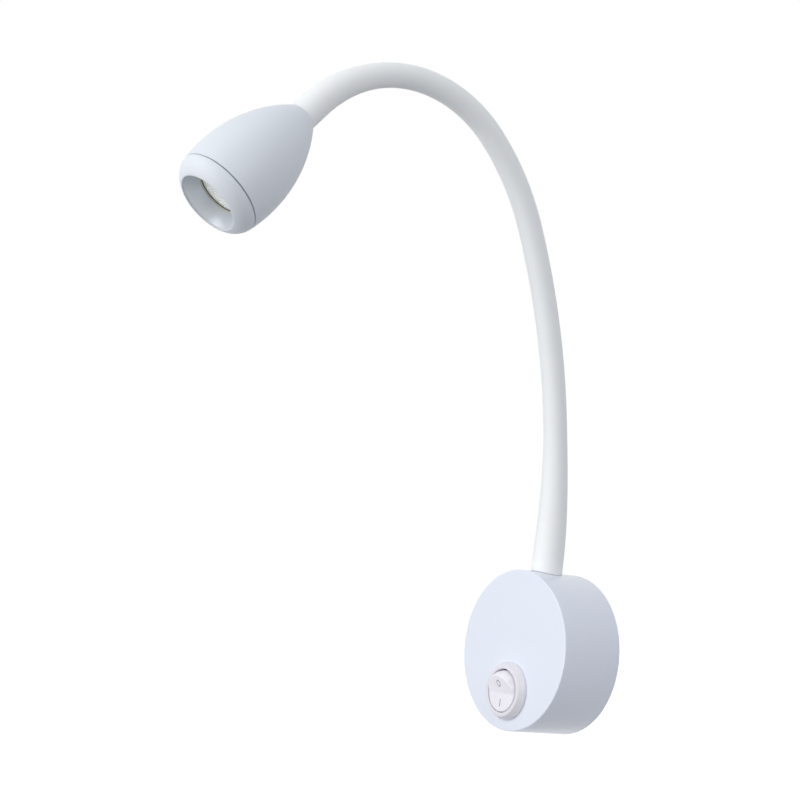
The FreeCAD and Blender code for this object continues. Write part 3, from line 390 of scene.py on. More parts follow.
def finished(bm: bmesh.types.BMesh, name: str, finish: Finish, place: Matrix = Matrix(),
             sharp: float = SHARP_ANGLE) -> bpy.types.Object:
    """Turn a bmesh into a finished object with its place in its mesh.

    Args:
        bm: The mesh, which is freed.
        name: The new piece's name.
        finish: Its surface finish.
        place: Where the mesh goes in the lamp.
        sharp: Edges that turn more than this many degrees stay sharp.

    Returns:
        The object, at the origin.
    """
    bm.transform(place)
    mesh = bpy.data.meshes.new(name)
    bm.to_mesh(mesh)
    bm.free()
    mesh.polygons.foreach_set("use_smooth", [True] * len(mesh.polygons))
    mesh.set_sharp_from_angle(angle=math.radians(sharp))
    piece = bpy.data.objects.new(name, mesh)
    bpy.context.scene.collection.objects.link(piece)
    piece.data.materials.append(finish.material())
    return piece


def carved(piece: bpy.types.Object, cutters: Sequence[bmesh.types.BMesh],
           sharp: float = SHARP_ANGLE) -> None:
    """Cut closed shapes out of a piece and keep the result as its mesh.

    Args:
        piece: The piece to cut.
        cutters: Closed meshes in the lamp's frame, which are freed.
        sharp: Edges that turn more than this many degrees stay sharp.
    """
    tools = []
    for bm in cutters:
        mesh = bpy.data.meshes.new("cutter")
        bm.to_mesh(mesh)
        bm.free()
        tool = bpy.data.objects.new("cutter", mesh)
        bpy.context.scene.collection.objects.link(tool)
        cut = piece.modifiers.new("cut", "BOOLEAN")
        cut.operation = "DIFFERENCE"
        cut.solver = "EXACT"
        cut.object = tool
        tools.append(tool)
    evaluated = piece.evaluated_get(bpy.context.evaluated_depsgraph_get())
    mesh = bpy.data.meshes.new_from_object(evaluated)
    piece.modifiers.clear()
    piece.data = mesh
    mesh.polygons.foreach_set("use_smooth", [True] * len(mesh.polygons))
    mesh.set_sharp_from_angle(angle=math.radians(sharp))
    for tool in tools:
        bpy.data.objects.remove(tool)


def bar(radius: float, length: float, place: Matrix, segments: int) -> bmesh.types.BMesh:
    """Make a closed round bar along its own Z axis.

    Args:
        radius: Its radius in metres.
        length: Its length in metres.
        place: Where it starts, and which way it runs.
        segments: How many corners it has round it.

    Returns:
        The bar's mesh.
    """
    bm = bmesh.new()
    bmesh.ops.create_cone(bm, cap_ends=True, segments=segments, radius1=radius, radius2=radius,
                          depth=length, matrix=place @ Matrix.Translation((0, 0, length / 2)))
    return bm


def report(piece: bpy.types.Object, body: str) -> None:
    """Log one piece and the body it belongs to."""
    LOG.info("%s on %s: %d faces", piece.name, body, len(piece.data.polygons))


def settle(piece: bpy.types.Object, body: str, slot: str, *nodes: str) -> None:
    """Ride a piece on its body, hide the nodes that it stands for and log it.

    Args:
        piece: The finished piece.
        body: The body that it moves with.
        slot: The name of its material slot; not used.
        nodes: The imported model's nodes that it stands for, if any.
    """
    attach(piece, body)
    if nodes:
        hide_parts(*nodes)
    report(piece, body)


# ---- Base --------------------------------------------------------------------------------------

OUT_OF_WALL = Matrix.Rotation(math.radians(90), 4, "X")


@dataclass
class Base:
    """The drum on the wall: a turned cup with the switch hole and the neck's hole."""

    diameter: float = 64.0
    depth: float = 28.0
    wall: float = 2.0
    face: float = 2.2
    front_edge: float = 0.55
    back_edge: float = 0.3
    inner_edge: float = 0.5
    switch_drop: float = 16.3
    switch_hole: float = 20.0
    neck_set_back: float = 15.6
    neck_hole: float = 8.1
    screw_hole: float = 3.1
    dish_height: float = 8.0
    cut_length: float = 10.0
    neck_cut_length: float = 12.0
    face_cut_over: float = 2.0
    side_cut_over: float = 4.0
    cup_steps: int = 160
    switch_hole_steps: int = 96
    neck_hole_steps: int = 64
    screw_hole_steps: int = 40

    def build(self) -> None:
        """Spin the cup, cut its holes and put it in place."""
        outer, inner = self.diameter / 2, self.diameter / 2 - self.wall
        floor = self.depth - self.face
        cup = spun(rounded([
            (0, floor, 0), (inner, floor, self.inner_edge), (inner, 0, self.back_edge),
            (outer, 0, self.back_edge), (outer, self.depth, self.front_edge), (0, self.depth, 0),
        ]), self.cup_steps)
        housing = finished(cup, "housing_cup", POWDER_COAT, OUT_OF_WALL)
        switch = OUT_OF_WALL @ Matrix.Translation(
            Vector((0, -self.switch_drop, floor - self.face_cut_over)) * MM)
        neck = Matrix.Translation(
            Vector((0, -self.neck_set_back, inner - self.side_cut_over)) * MM)
        screw = Matrix.Translation(
            Vector((0, -self.dish_height / 2, -outer - self.side_cut_over)) * MM)
        carved(housing, [
            bar(self.switch_hole / 2 * MM, self.cut_length * MM, switch, self.switch_hole_steps),
            bar(self.neck_hole / 2 * MM, self.neck_cut_length * MM, neck, self.neck_hole_steps),
            bar(self.screw_hole / 2 * MM, self.cut_length * MM, screw, self.screw_hole_steps),
        ])
        settle(housing, "base", "painted_metal", "base_housing")


# ---- Switch ------------------------------------------------------------------------------------

class Mark(Enum):
    """The two marks on the rocker."""

    OFF = "ring"
    ON = "bar"


@dataclass
class Switch:
    """Round rocker switch: flange and barrel in one moulding, and a button with a shallow V."""

    drop: float = 16.3
    face_out: float = 28.0
    flange: float = 23.0
    flange_height: float = 3.4
    flange_rim: float = 1.0
    flange_flat: float = 1.5
    opening: float = 17.3
    barrel: float = 19.8
    barrel_length: float = 14.0
    floor: float = 3.0
    lug_height: float = 1.0
    lug_length: float = 3.0
    lug_width: float = 6.0
    panel: float = 2.2
    rocker: float = 16.6
    shoulder: float = 2.1
    rocker_face: float = 14.7
    tilt: float = 13.5
    level: float = 0.15
    depth: float = 5.0
    pivot_height: float = 0.1
    pin: float = 2.4
    pin_length: float = 1.0
    spring_hole: float = 2.8
    spring_depth: float = 3.1
    mark_out: float = 3.9
    mark_line: float = 0.4
    mark_height: float = 2.9
    mark_width: float = 2.2
    mark_proud: float = 0.03
    barrel_edge: float = 0.4
    foot_edge: float = 0.15
    rim_edge: float = 0.4
    ring_edge: float = 0.5
    opening_edge: float = 0.3
    lug_edge: float = 0.25
    rocker_edge: float = 0.45
    gap: float = 0.05
    end_gap: float = 0.1
    pin_sunk: float = 0.3
    spring_cut_over: float = 1.0
    body_steps: int = 128
    button_steps: int = 96
    ball_steps: int = 10
    pin_steps: int = 32
    mark_steps: int = 40
    least_rim_angle: float = 50.0
    button_sharp: float = 40.0

    @property
    def fold_height(self) -> float:
        """The height of the V's fold over the rocker's pivot."""
        return self.flange_height + self.level - self.pivot_height

    @property
    def slope(self) -> float:
        """How much each half of the V rises per length away from the fold."""
        return math.tan(math.radians(self.tilt))

    def place(self) -> Matrix:
        """The switch's frame: z out of the base's face and y up."""
        return OUT_OF_WALL @ Matrix.Translation(Vector((0, -self.drop, self.face_out)) * MM)

    def rocker_place(self) -> Matrix:
        """The rocker's frame at rest: its pivot, tilted so that the upper half stands proud."""
        pivot = Matrix.Translation((0, 0, self.pivot_height * MM))
        return self.place() @ pivot @ Matrix.Rotation(math.radians(self.tilt), 4, "X")

    def build(self) -> None:
        """Make the moulding, the rocker and its marks."""
        self._moulding()
        self._button()
        for mark in Mark:
            self._mark(mark)

    def _moulding(self) -> None:
        """Spin the flange, barrel and cup, add the snap lugs and cut the pin holes."""
        flange, opening, barrel = self.flange / 2, self.opening / 2, self.barrel / 2
        deep = self.barrel_length - self.floor
        cup = spun(rounded([
            (0, -self.barrel_length, 0), (barrel, -self.barrel_length, self.barrel_edge),
            (barrel, 0, 0), (flange, 0, self.foot_edge), (flange, self.flange_rim, self.rim_edge),
            (opening + self.flange_flat, self.flange_height, self.ring_edge),
            (opening, self.flange_height, self.opening_edge), (opening, -deep, 0), (0, -deep, 0),
        ]), self.body_steps)
        size = Matrix.Diagonal((
            2 * self.lug_height * MM, self.lug_width * MM, self.lug_length * MM, 1))
        for side in (1, -1):
            spot = Matrix.Translation((
                side * barrel * MM, 0, -(self.panel + self.gap + self.lug_length / 2) * MM))
            lug = bmesh.ops.create_cube(cup, size=1.0, matrix=spot @ size)
            outer = [e for e in {edge for v in lug["verts"] for edge in v.link_edges}
                     if all(v.co.x * side > barrel * MM for v in e.verts)]
            bmesh.ops.bevel(cup, geom=outer, offset=self.lug_edge * MM, offset_type="OFFSET",
                            segments=2, profile=0.5, affect="EDGES", material=-1)
        body = finished(cup, "switch_moulding", SWITCH_BODY, self.place())
        across = Matrix.Rotation(math.radians(90), 4, "Y")
        half = (self.opening / 2 + self.pin_length + self.end_gap) * MM
        pins = self.place() @ Matrix.Translation((-half, 0, self.pivot_height * MM)) @ across
        carved(body, [bar((self.pin / 2 + self.gap) * MM, 2 * half, pins, self.pin_steps)])
        settle(body, "base", "switch_white", "switch_body")

    def _button(self) -> None:
        """Spin the button, bend its top into a shallow V, soften its edge and add the pins."""
        radius, face = self.rocker / 2, self.rocker_face / 2
        middle, slope = self.fold_height, self.slope
        skirt = math.sqrt(radius ** 2 - self.depth ** 2)
        start = -math.degrees(math.asin(self.depth / radius))
        ball = arc_points((0, 0), radius, start, 0, self.ball_steps)
        lean = (radius - face) / (middle + face * slope - self.shoulder)
        top_radius = face + face * slope * lean
        profile = [(0, -self.depth, 0), *ball[:-1], (radius, 0, 0), (radius, self.shoulder, 0),
                   (top_radius, middle, 0), (0, middle, 0)]
        profile[1] = (skirt, -self.depth, 0)
        button = spun(rounded(profile), self.button_steps)
        level = middle * MM - WELD_DISTANCE
        top = [face for face in button.faces if all(v.co.z > level for v in face.verts)]
        bmesh.ops.dissolve_faces(button, faces=top, use_verts=True)
        cut = button.verts[:] + button.edges[:] + button.faces[:]
        bmesh.ops.bisect_plane(button, geom=cut, dist=SLIVER_DISTANCE, plane_co=(0, 0, 0),
                               plane_no=(0, 1, 0))
        for vert in button.verts:
            if vert.co.z > level:
                self._to_face(vert, middle * MM, slope, lean)
        button.normal_update()
        rim = [e for e in button.edges if all(v.co.z > level for v in e.verts)
               and len(e.link_faces) == 2
               and e.calc_face_angle() > math.radians(self.least_rim_angle)]
        bmesh.ops.bevel(button, geom=rim, offset=self.rocker_edge * MM, offset_type="OFFSET",
                        segments=4, profile=0.5, affect="EDGES", material=-1)
        bmesh.ops.recalc_face_normals(button, faces=button.faces)
        piece = finished(button, "rocker_button", SWITCH_ABS, self.rocker_place(),
                         self.button_sharp)
        below = (self.depth + self.spring_cut_over) * MM
        hole = self.rocker_place() @ Matrix.Translation((0, 0, -below))
        spring = bar(self.spring_hole / 2 * MM, (self.spring_depth + self.spring_cut_over) * MM,
                     hole, self.pin_steps)
        carved(piece, [spring], self.button_sharp)
        settle(piece, "rocker", "switch_white", "switch_rocker")
        self._pins()

    def _to_face(self, vert: bmesh.types.BMVert, middle: float, slope: float,
                 lean: float) -> None:
        """Lift a point of the flat top to the V's face, along the wall that leans inwards.

        Args:
            vert: The point, at the height middle.
            middle: The height of the V's fold.
            slope: How much the V rises per length away from the fold.
            lean: How much the wall leans in per height.
        """
        across = vert.co.xy.length
        if across > 0:
            rise = slope * abs(vert.co.y) / across
            reach = across / (1 + rise * lean)
            vert.co.xy *= reach / across
            vert.co.z = middle + reach * rise

    def _pins(self) -> None:
        """Add the two pins that the rocker turns on."""
        start, end = self.rocker / 2 - self.pin_sunk, self.opening / 2 + self.pin_length
        pins = bmesh.new()
        for side in (1, -1):
            middle = Matrix.Translation((side * (start + end) / 2 * MM, 0, 0))
            bmesh.ops.create_cone(pins, cap_ends=True, segments=self.pin_steps,
                                  radius1=self.pin / 2 * MM, radius2=self.pin / 2 * MM,
                                  depth=(end - start) * MM,
                                  matrix=middle @ Matrix.Rotation(math.radians(90), 4, "Y"))
        piece = finished(pins, "rocker_pins", SWITCH_ABS, self.rocker_place())
        settle(piece, "rocker", "switch_white")

    def _mark(self, mark: Mark) -> None:
        """Lay one printed mark on its half of the button.

        Args:
            mark: Which of the two marks.
        """
        side = 1 if mark is Mark.OFF else -1
        height = self.fold_height + self.mark_out * self.slope
        spot = Matrix.Translation(Vector((0, side * self.mark_out, height)) * MM)
        if mark is Mark.OFF:
            outer, inner = self.mark_height / 2, self.mark_height / 2 - self.mark_line
            ink = spun(rounded([(inner, 0, 0), (outer, 0, 0), (outer, self.mark_proud, 0),
                                (inner, self.mark_proud, 0)]), self.mark_steps)
            ink.transform(Matrix.Diagonal((self.mark_width / self.mark_height, 1, 1, 1)))
        else:
            ink = bmesh.new()
            bmesh.ops.create_cube(ink, size=1.0, matrix=Matrix.Diagonal((
                self.mark_line * MM, self.mark_height * MM, self.mark_proud * MM, 1)))
            ink.transform(Matrix.Translation((0, 0, self.mark_proud / 2 * MM)))
        turn = Matrix.Rotation(math.radians(self.tilt) * side, 4, "X")
        piece = finished(ink, f"mark_{mark.name.lower()}", MARK_INK,
                         self.rocker_place() @ spot @ turn)
        settle(piece, "rocker", "switch_white")


# ---- Neck --------------------------------------------------------------------------------------

@dataclass
class NeckPath:
    """The neck's centre line: a run, three tangent arcs that lean forwards, and a run."""

    set_back: float = 15.6
    foot_height: float = 32.0
    lower_run: float = 8.0
    bends: tuple[tuple[float, float], ...] = ((290.0, 26.0), (100.0, 22.5), (59.0, 89.8))
    upper_run: float = 8.0

    @property
    def length(self) -> float:
        """The whole length in millimetres."""
        return self.lower_run + sum(r * math.radians(a) for r, a in self.bends) + self.upper_run

    def place(self, run: float) -> Matrix:
        """A place whose Z axis runs along the neck.

        Args:
            run: The length run from the foot, in millimetres.

        Returns:
            The place, in metres.
        """
        where = Vector((0, -self.set_back, self.foot_height))
        lean, left = 0.0, run
        spans = [(self.lower_run, 0.0)] + [(r * math.radians(a), r) for r, a in self.bends]
        for span, radius in spans:
            step = min(left, span)
            if radius:
                bend = step / radius
                where += radius * Vector((0, math.cos(lean + bend) - math.cos(lean),
                                          math.sin(lean + bend) - math.sin(lean)))
                lean += bend
            else:
                where += step * Vector((0, -math.sin(lean), math.cos(lean)))
            left -= step
            if left <= 0:
                break
        where += left * Vector((0, -math.sin(lean), math.cos(lean)))
        return Matrix.Translation(where * MM) @ Matrix.Rotation(lean, 4, "X")


PATH = NeckPath()


@dataclass
class Neck:
    """The soft sleeve over the jointed core, and the lead inside, in one length per pivot."""

    diameter: float = 9.5
    foot: float = 12.6
    foot_taper: float = 60.0
    top: float = 11.7
    top_taper: float = 48.0
    bore: float = 8.4
    seat_gap: float = 0.15
    base_diameter: float = 64.0
    lead: float = 3.0
    lead_below: float = 16.8
    lead_inside: float = 31.45
    first_pivot: float = 14.0
    last_pivot: float = 12.0
    lower_link: float = 14.5
    lower_links: int = 8
    upper_links: int = 13
    ring_step: float = 1.0
    lip: float = 0.04
    fit_height: float = 1.5
    sleeve_steps: int = 64
    lead_steps: int = 24
    sharp: float = 50.0

    def pivots(self) -> list[float]:
        """Work out how far along the neck each pivot lies.

        Returns:
            The lengths run from the foot, in millimetres.
        """
        runs = [self.first_pivot + self.lower_link * i for i in range(self.lower_links + 1)]
        step = (PATH.length - self.last_pivot - runs[-1]) / self.upper_links
        return runs + [runs[-1] + step * (i + 1) for i in range(self.upper_links)]

    def outer(self, run: float) -> float:
        """Give the sleeve's outer radius, wider at the foot and at the head.

        Args:
            run: The length run from the foot, in millimetres.

        Returns:
            The radius in millimetres.
        """
        def eased(share: float) -> float:
            """A smooth step from 0 to 1."""
            share = min(max(share, 0.0), 1.0)
            return share * share * (3 - 2 * share)
        middle = self.diameter / 2
        foot = (self.foot / 2 - middle) * (1 - eased(run / self.foot_taper))
        top = (self.top / 2 - middle) * eased((run - PATH.length + self.top_taper) / self.top_taper)
        return middle + foot + top

    def build(self) -> None:
        """Make each length of sleeve and lead, one for each pivot."""
        pivots = self.pivots()
        joints = self._chain()
        assert len(joints) == len(pivots), "one joint for each pivot"
        middles = [(low + high) / 2 for low, high in zip(pivots, pivots[1:])]
        starts = [0.0] + middles
        ends = middles + [PATH.length - self.seat_gap]
        for number, (joint, pivot) in enumerate(zip(joints, pivots), start=1):
            low, high = starts[number - 1], ends[number - 1]
            reach = min(pivot - low if number > 1 else high - pivot,
                        high - pivot if number < len(pivots) else pivot - low)
            bend = [PATH.place(pivot - reach).translation, PATH.place(pivot + reach).translation]
            sleeve = self._sleeve(f"sleeve_{number:02d}", low, high)
            lead_low = -self.lead_below if number == 1 else low
            lead_high = PATH.length + self.lead_inside if number == len(pivots) else high
            lead = self._lead(f"lead_{number:02d}", lead_low, lead_high)
            for piece, node, slot in ((sleeve, "neck_sleeve", "sleeve_white"),
                                      (lead, "neck_lead", "lead_sheath")):
                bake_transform(piece)
                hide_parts(node)
                report(piece, joint["child"])

    def _chain(self) -> list[dict]:
        """Follow the neck's joints from the base to the head.

        Returns:
            The joints in that order.
        """
        bends = [joint for joint in frame["joints"] if joint["child"] != "rocker"]
        by_parent = {joint["parent"]: joint for joint in bends}
        chain, body = [], "base"
        while body in by_parent:
            chain.append(by_parent[body])
            body = by_parent[body]["child"]
        return chain

    def _stations(self, low: float, high: float) -> list[float]:
        """Choose where a tube gets its rings, with one close to each end.

        Args:
            low: The length run at which the tube starts.
            high: The length run at which it ends.

        Returns:
            The lengths run of its rings.
        """
        count = max(2, math.ceil((high - low) / self.ring_step))
        inner = [low + (high - low) * i / count for i in range(1, count)]
        return [low, low + self.lip] + inner + [high - self.lip, high]

    def _tube(self, bm: bmesh.types.BMesh, runs: Sequence[float],
              radius: Callable[[float], float], segments: int) -> tuple[EdgeLoop, EdgeLoop]:
        """Draw a tube of rings along the neck.

        Args:
            bm: The mesh to add to.
            runs: Where the rings lie.
            radius: The radius at a length run, in millimetres.
            segments: How many corners a ring has.

        Returns:
            The edges of the first ring and of the last.
        """
        def ring_place(run: float) -> Matrix:
            """The place and size of the ring at a length run."""
            return PATH.place(run) @ Matrix.Scale(radius(run) * MM, 4)
        made = bmesh.ops.create_circle(bm, cap_ends=False, segments=segments, radius=1.0,
                                       matrix=ring_place(runs[0]))
        first = list({edge for vert in made["verts"] for edge in vert.link_edges})
        loop = first
        for low, high in zip(runs, runs[1:]):
            grown = bmesh.ops.extrude_edge_only(bm, edges=loop)["geom"]
            verts = [each for each in grown if isinstance(each, bmesh.types.BMVert)]
            loop = [each for each in grown if isinstance(each, bmesh.types.BMEdge)]
            onwards = ring_place(high) @ ring_place(low).inverted()
            bmesh.ops.transform(bm, matrix=onwards, verts=verts)
        return first, loop

    def _sleeve(self, name: str, low: float, high: float) -> bpy.types.Object:
        """Make one length of the sleeve, a tube with its bore.

        Args:
            name: The new piece's name.
            low: The length run at which it starts.
            high: The length run at which it ends.

        Returns:
            The object, at the origin.
        """
        bm = bmesh.new()
        runs = self._stations(low, high)
        outside = self._tube(bm, runs, self.outer, self.sleeve_steps)
        inside = self._tube(bm, runs, lambda run: self.bore / 2, self.sleeve_steps)
        for pair in zip(outside, inside):
            bmesh.ops.bridge_loops(bm, edges=pair[0] + pair[1])
        if low == 0.0:
            self._fit_to_drum(bm)
        bmesh.ops.recalc_face_normals(bm, faces=bm.faces)
        return finished(bm, name, SILICONE, sharp=self.sharp)

    def _fit_to_drum(self, bm: bmesh.types.BMesh) -> None:
        """Bring the foot's lowest ring down to the base's round wall.

        Args:
            bm: The mesh of the sleeve's first length.
        """
        radius = (self.base_diameter / 2 + self.seat_gap) * MM
        top = (self.base_diameter / 2 + self.fit_height) * MM
        for vert in bm.verts:
            if vert.co.z < top:
                drum = math.sqrt(radius ** 2 - vert.co.x ** 2)
                share = (top - vert.co.z) / (top - self.base_diameter / 2 * MM)
                vert.co.z += (drum - self.base_diameter / 2 * MM) * min(share, 1.0)

    def _lead(self, name: str, low: float, high: float) -> bpy.types.Object:
        """Make one length of the lead, a closed bar.

        Args:
            name: The new piece's name.
            low: The length run at which it starts.
            high: The length run at which it ends.

        Returns:
            The object, at the origin.
        """
        bm = bmesh.new()
        ends = self._tube(bm, self._stations(low, high), lambda run: self.lead / 2,
                          self.lead_steps)
        for loop in ends:
            bmesh.ops.contextual_create(bm, geom=loop)
        bmesh.ops.recalc_face_normals(bm, faces=bm.faces)
        return finished(bm, name, LEAD_PVC, sharp=self.sharp)


# ---- Head --------------------------------------------------------------------------------------

@dataclass
class Head:
    """The spotlight: ogive shell, screwed front ring, cone, thin metal ring and lens.

    Heights are measured back from the rim of the mouth.
    """

    length: float = 51.5
    diameter: float = 36.2
    bulge_place: float = 15.5
    tail: float = 12.1
    seam: float = 6.2
    seam_gap: float = 0.5
    seam_edge: float = 0.15
    thread_show: float = 0.5
    bore: float = 31.2
    shoulder_place: float = 27.0
    shoulder: float = 1.0
    tail_wall: float = 6.5
    tail_cavity: float = 16.6
    tail_hole: float = 8.1
    mouth: float = 24.6
    lip: float = 0.8
    front_flat: float = 0.15
    bore_step: float = 1.0
    spigot_length: float = 5.8
    spigot_gap: float = 0.15
    spigot_bore: float = 28.4
    cone_wall: float = 0.8
    cone_exit: float = 19.8
    cone_length: float = 6.1
    stack_gap: float = 0.05
    ring_thickness: float = 0.6
    ring_diameter: float = 22.6
    ring_show: float = 0.2
    gap_ring_width: float = 0.45
    gap_ring_height: float = 0.3
    lens_diameter: float = 21.0
    lens_flange: float = 1.2
    lens_body: float = 19.2
    lens_tip: float = 8.4
    lens_length: float = 9.6
    emitter: float = 3.5
    facet: float = 1.15
    facet_height: float = 0.4
    facet_foot: float = 0.56
    facet_top: float = 0.36
    facet_crown: float = 0.16
    facet_dome: float = 0.2
    lens_edge: float = 0.9
    recess_share: float = 0.6
    recess_depth: float = 2.0
    recess_edge: float = 0.5
    crown_band: float = 0.01
    lens_seat_gap: float = 0.1
    thread_sunk: float = 0.02
    spigot_edge: float = 0.2
    cone_edge: float = 0.15
    ring_edge: float = 0.1
    gap_ring_edge: float = 0.05
    curve_steps: int = 64
    front_steps: int = 20
    small_edge_steps: int = 2
    shell_steps: int = 160
    inner_steps: int = 128
    lens_steps: int = 96
    facet_sharp: float = 60.0

    @property
    def ring_end(self) -> float:
        """Where the front ring ends at the seam."""
        return self.seam - self.seam_gap / 2

    @property
    def shell_start(self) -> float:
        """Where the shell starts at the seam."""
        return self.seam + self.seam_gap / 2

    def place(self) -> Matrix:
        """The head's frame: the centre of the mouth's rim, z back along the head's axis."""
        ahead = Matrix.Translation((0, 0, self.length * MM))
        return PATH.place(PATH.length) @ ahead @ Matrix.Rotation(math.pi, 4, "X")

    @property
    def bulge_radius(self) -> float:
        """The radius of the shell's curve, through its widest circle and its tail."""
        drawn_in = (self.diameter - self.tail) / 2
        return ((self.length - self.bulge_place) ** 2 + drawn_in ** 2) / (2 * drawn_in)

    @property
    def front_arc(self) -> tuple[float, float, float]:
        """Fit the front ring's arc, from the seam's curve to the mouth.

        Returns:
            Its centre's radius and height, and its own radius.
        """
        end = self.ring_end
        lean = self.bulge_place - end
        swing = math.sqrt(self.bulge_radius ** 2 - lean ** 2)
        drawn_in = self.ogive(end) - self.mouth / 2 - self.front_flat
        radius = (self.bulge_radius * (drawn_in ** 2 + end ** 2)
                  / (2 * (swing * drawn_in - lean * end)))
        share = radius / self.bulge_radius
        return self.ogive(end) - swing * share, end + lean * share, radius

    def ogive(self, place: float) -> float:
        """The head's outer radius at a place behind the rim."""
        swing = math.sqrt(self.bulge_radius ** 2 - (place - self.bulge_place) ** 2)
        return self.diameter / 2 - self.bulge_radius + swing

    def _curve(self, start: float, end: float, steps: int) -> list[ProfilePoint]:
        """Points of the ogive between two places."""
        places = [start + (end - start) * k / steps for k in range(steps + 1)]
        return [(self.ogive(place), place, 0.0) for place in places]

    def build(self) -> None:
        """Make every visible piece of the head."""
        self._shell()
        self._front_ring()
        self._cone()
        self._metal_ring()
        self._lens()

    def _shell(self) -> None:
        """Spin the ogive shell."""
        start = self.shell_start
        floor = self.length - self.tail_wall
        curve = self._curve(start, self.length, self.curve_steps)
        curve[0] = (curve[0][0], curve[0][1], self.seam_edge)
        profile = [(self.bore / 2, start, 0), *curve, (self.tail_hole / 2, self.length, 0),
                   (self.tail_hole / 2, floor, 0), (self.tail_cavity / 2, floor, 0),
                   (self.bore / 2 - self.shoulder, self.shoulder_place, 0),
                   (self.bore / 2, self.shoulder_place, 0)]
        piece = finished(spun(rounded(profile), self.shell_steps), "shell_ogive", HEAD_PAINT,
                         self.place())
        settle(piece, "head", "painted_metal", "head_shell")

    def _front_ring(self) -> None:
        """Spin the screwed ring, whose outside takes over the shell's curve up to the mouth."""
        across, up, radius = self.front_arc
        end = self.ring_end
        start = math.degrees(math.asin(-up / radius))
        stop = math.degrees(math.asin((end - up) / radius))
        front = arc_points((across, up), radius, start, stop, self.front_steps)
        front[-1] = (front[-1][0], front[-1][1], self.seam_edge)
        spigot = self.bore / 2 - self.spigot_gap
        back = self.seam + self.spigot_length
        rim = self.mouth / 2 + self.cone_wall + self.lens_seat_gap
        shelf = self.lip + self.bore_step
        profile = [(self.mouth / 2, 0, 0), *front, (spigot, end, 0),
                   (spigot, back, self.spigot_edge),
                   (self.spigot_bore / 2, back, self.spigot_edge),
                   (self.spigot_bore / 2, shelf, 0), (rim, shelf, 0), (rim, self.lip, 0),
                   (self.mouth / 2, self.lip, 0)]
        piece = finished(spun(rounded(profile), self.shell_steps), "front_ring", HEAD_PAINT,
                         self.place())
        settle(piece, "head", "painted_metal", "bezel_ring")
        # The dark ring in the seam stands for the thread, and its dark grey is painted shade in the
        # gap.
        start = self.shell_start
        inside, outside = spigot - self.thread_sunk, spigot + self.thread_show
        thread = [(inside, end, 0), (outside, end, 0), (outside, start, 0), (inside, start, 0)]
        piece = finished(spun(rounded(thread), self.inner_steps), "seam_shade_ring", SEAM_SHADE,
                         self.place())
        settle(piece, "head", "core_steel")

    def _cone(self) -> None:
        """Spin the reflector cone behind the lip."""
        front, back = self.lip + self.stack_gap, self.lip + self.cone_length
        rim = self.mouth / 2 + self.cone_wall
        outer = self.spigot_bore / 2 - self.lens_seat_gap
        shelf = front + self.bore_step
        profile = [(self.mouth / 2, front, 0), (rim, front, 0), (rim, shelf, 0), (outer, shelf, 0),
                   (outer, shelf + self.cone_wall, 0), (rim, shelf + self.cone_wall, 0),
                   (self.cone_exit / 2 + self.cone_wall, back, 0),
                   (self.cone_exit / 2, back, self.cone_edge)]
        piece = finished(spun(rounded(profile), self.inner_steps), "cone_reflector", CONE_GLOSS,
                         self.place())
        settle(piece, "head", "reflector_gloss", "reflector_cone")

    def _metal_ring(self) -> None:
        """Spin the thin metal ring at the cone's inner end, and inside it a thin dark ring that is
        painted shade in the gap before the lens.
        """
        start = self.lip + self.cone_length + self.stack_gap
        back = start + self.ring_thickness
        inner, outer = self.cone_exit / 2 - self.ring_show, self.ring_diameter / 2
        profile = rounded([(inner, start, self.ring_edge), (outer, start, 0), (outer, back, 0),
                           (inner, back, self.ring_edge)], self.small_edge_steps)
        piece = finished(spun(profile, self.inner_steps), "thin_metal_ring", PALE_BRASS,
                         self.place())
        settle(piece, "head", "brass", "trim_ring")
        # The dark grey ring inside the metal ring is painted shade in the gap before the lens.
        front, inside = back - self.gap_ring_height, inner - self.gap_ring_width
        gap_ring = rounded([(inside, front, self.gap_ring_edge), (inner, front, 0), (inner, back, 0),
                        (inside, back, 0)], self.small_edge_steps)
        piece = finished(spun(gap_ring, self.inner_steps), "lens_gap_shade_ring", LENS_GAP_SHADE, self.place())
        settle(piece, "head", "rubber_grey")

    def _lens(self) -> None:
        """Spin the collimator and cover its front with a honeycomb of small domes."""
        front = self.lip + self.cone_length + self.ring_thickness + 2 * self.stack_gap
        rim, body, tip = self.lens_diameter / 2, self.lens_body / 2, self.lens_tip / 2
        plate = front + self.facet_height
        end = front + self.lens_length
        recess, floor = self.emitter * self.recess_share, end - self.recess_depth
        field = rim - self.lens_edge
        lens = spun(rounded([
            (0, plate, 0), (field, plate, 0), (field, front, 0), (rim, front, 0),
            (rim, front + self.lens_flange, 0), (body, front + self.lens_flange, 0), (tip, end, 0),
            (recess, end, 0), (recess, floor, self.recess_edge), (0, floor, 0),
        ]), self.lens_steps)
        piece = finished(lens, "lens_collimator", LENS_ACRYLIC, self.place())
        settle(piece, "head", "lens_clear", "lens")
        self._honeycomb(front, plate, field)

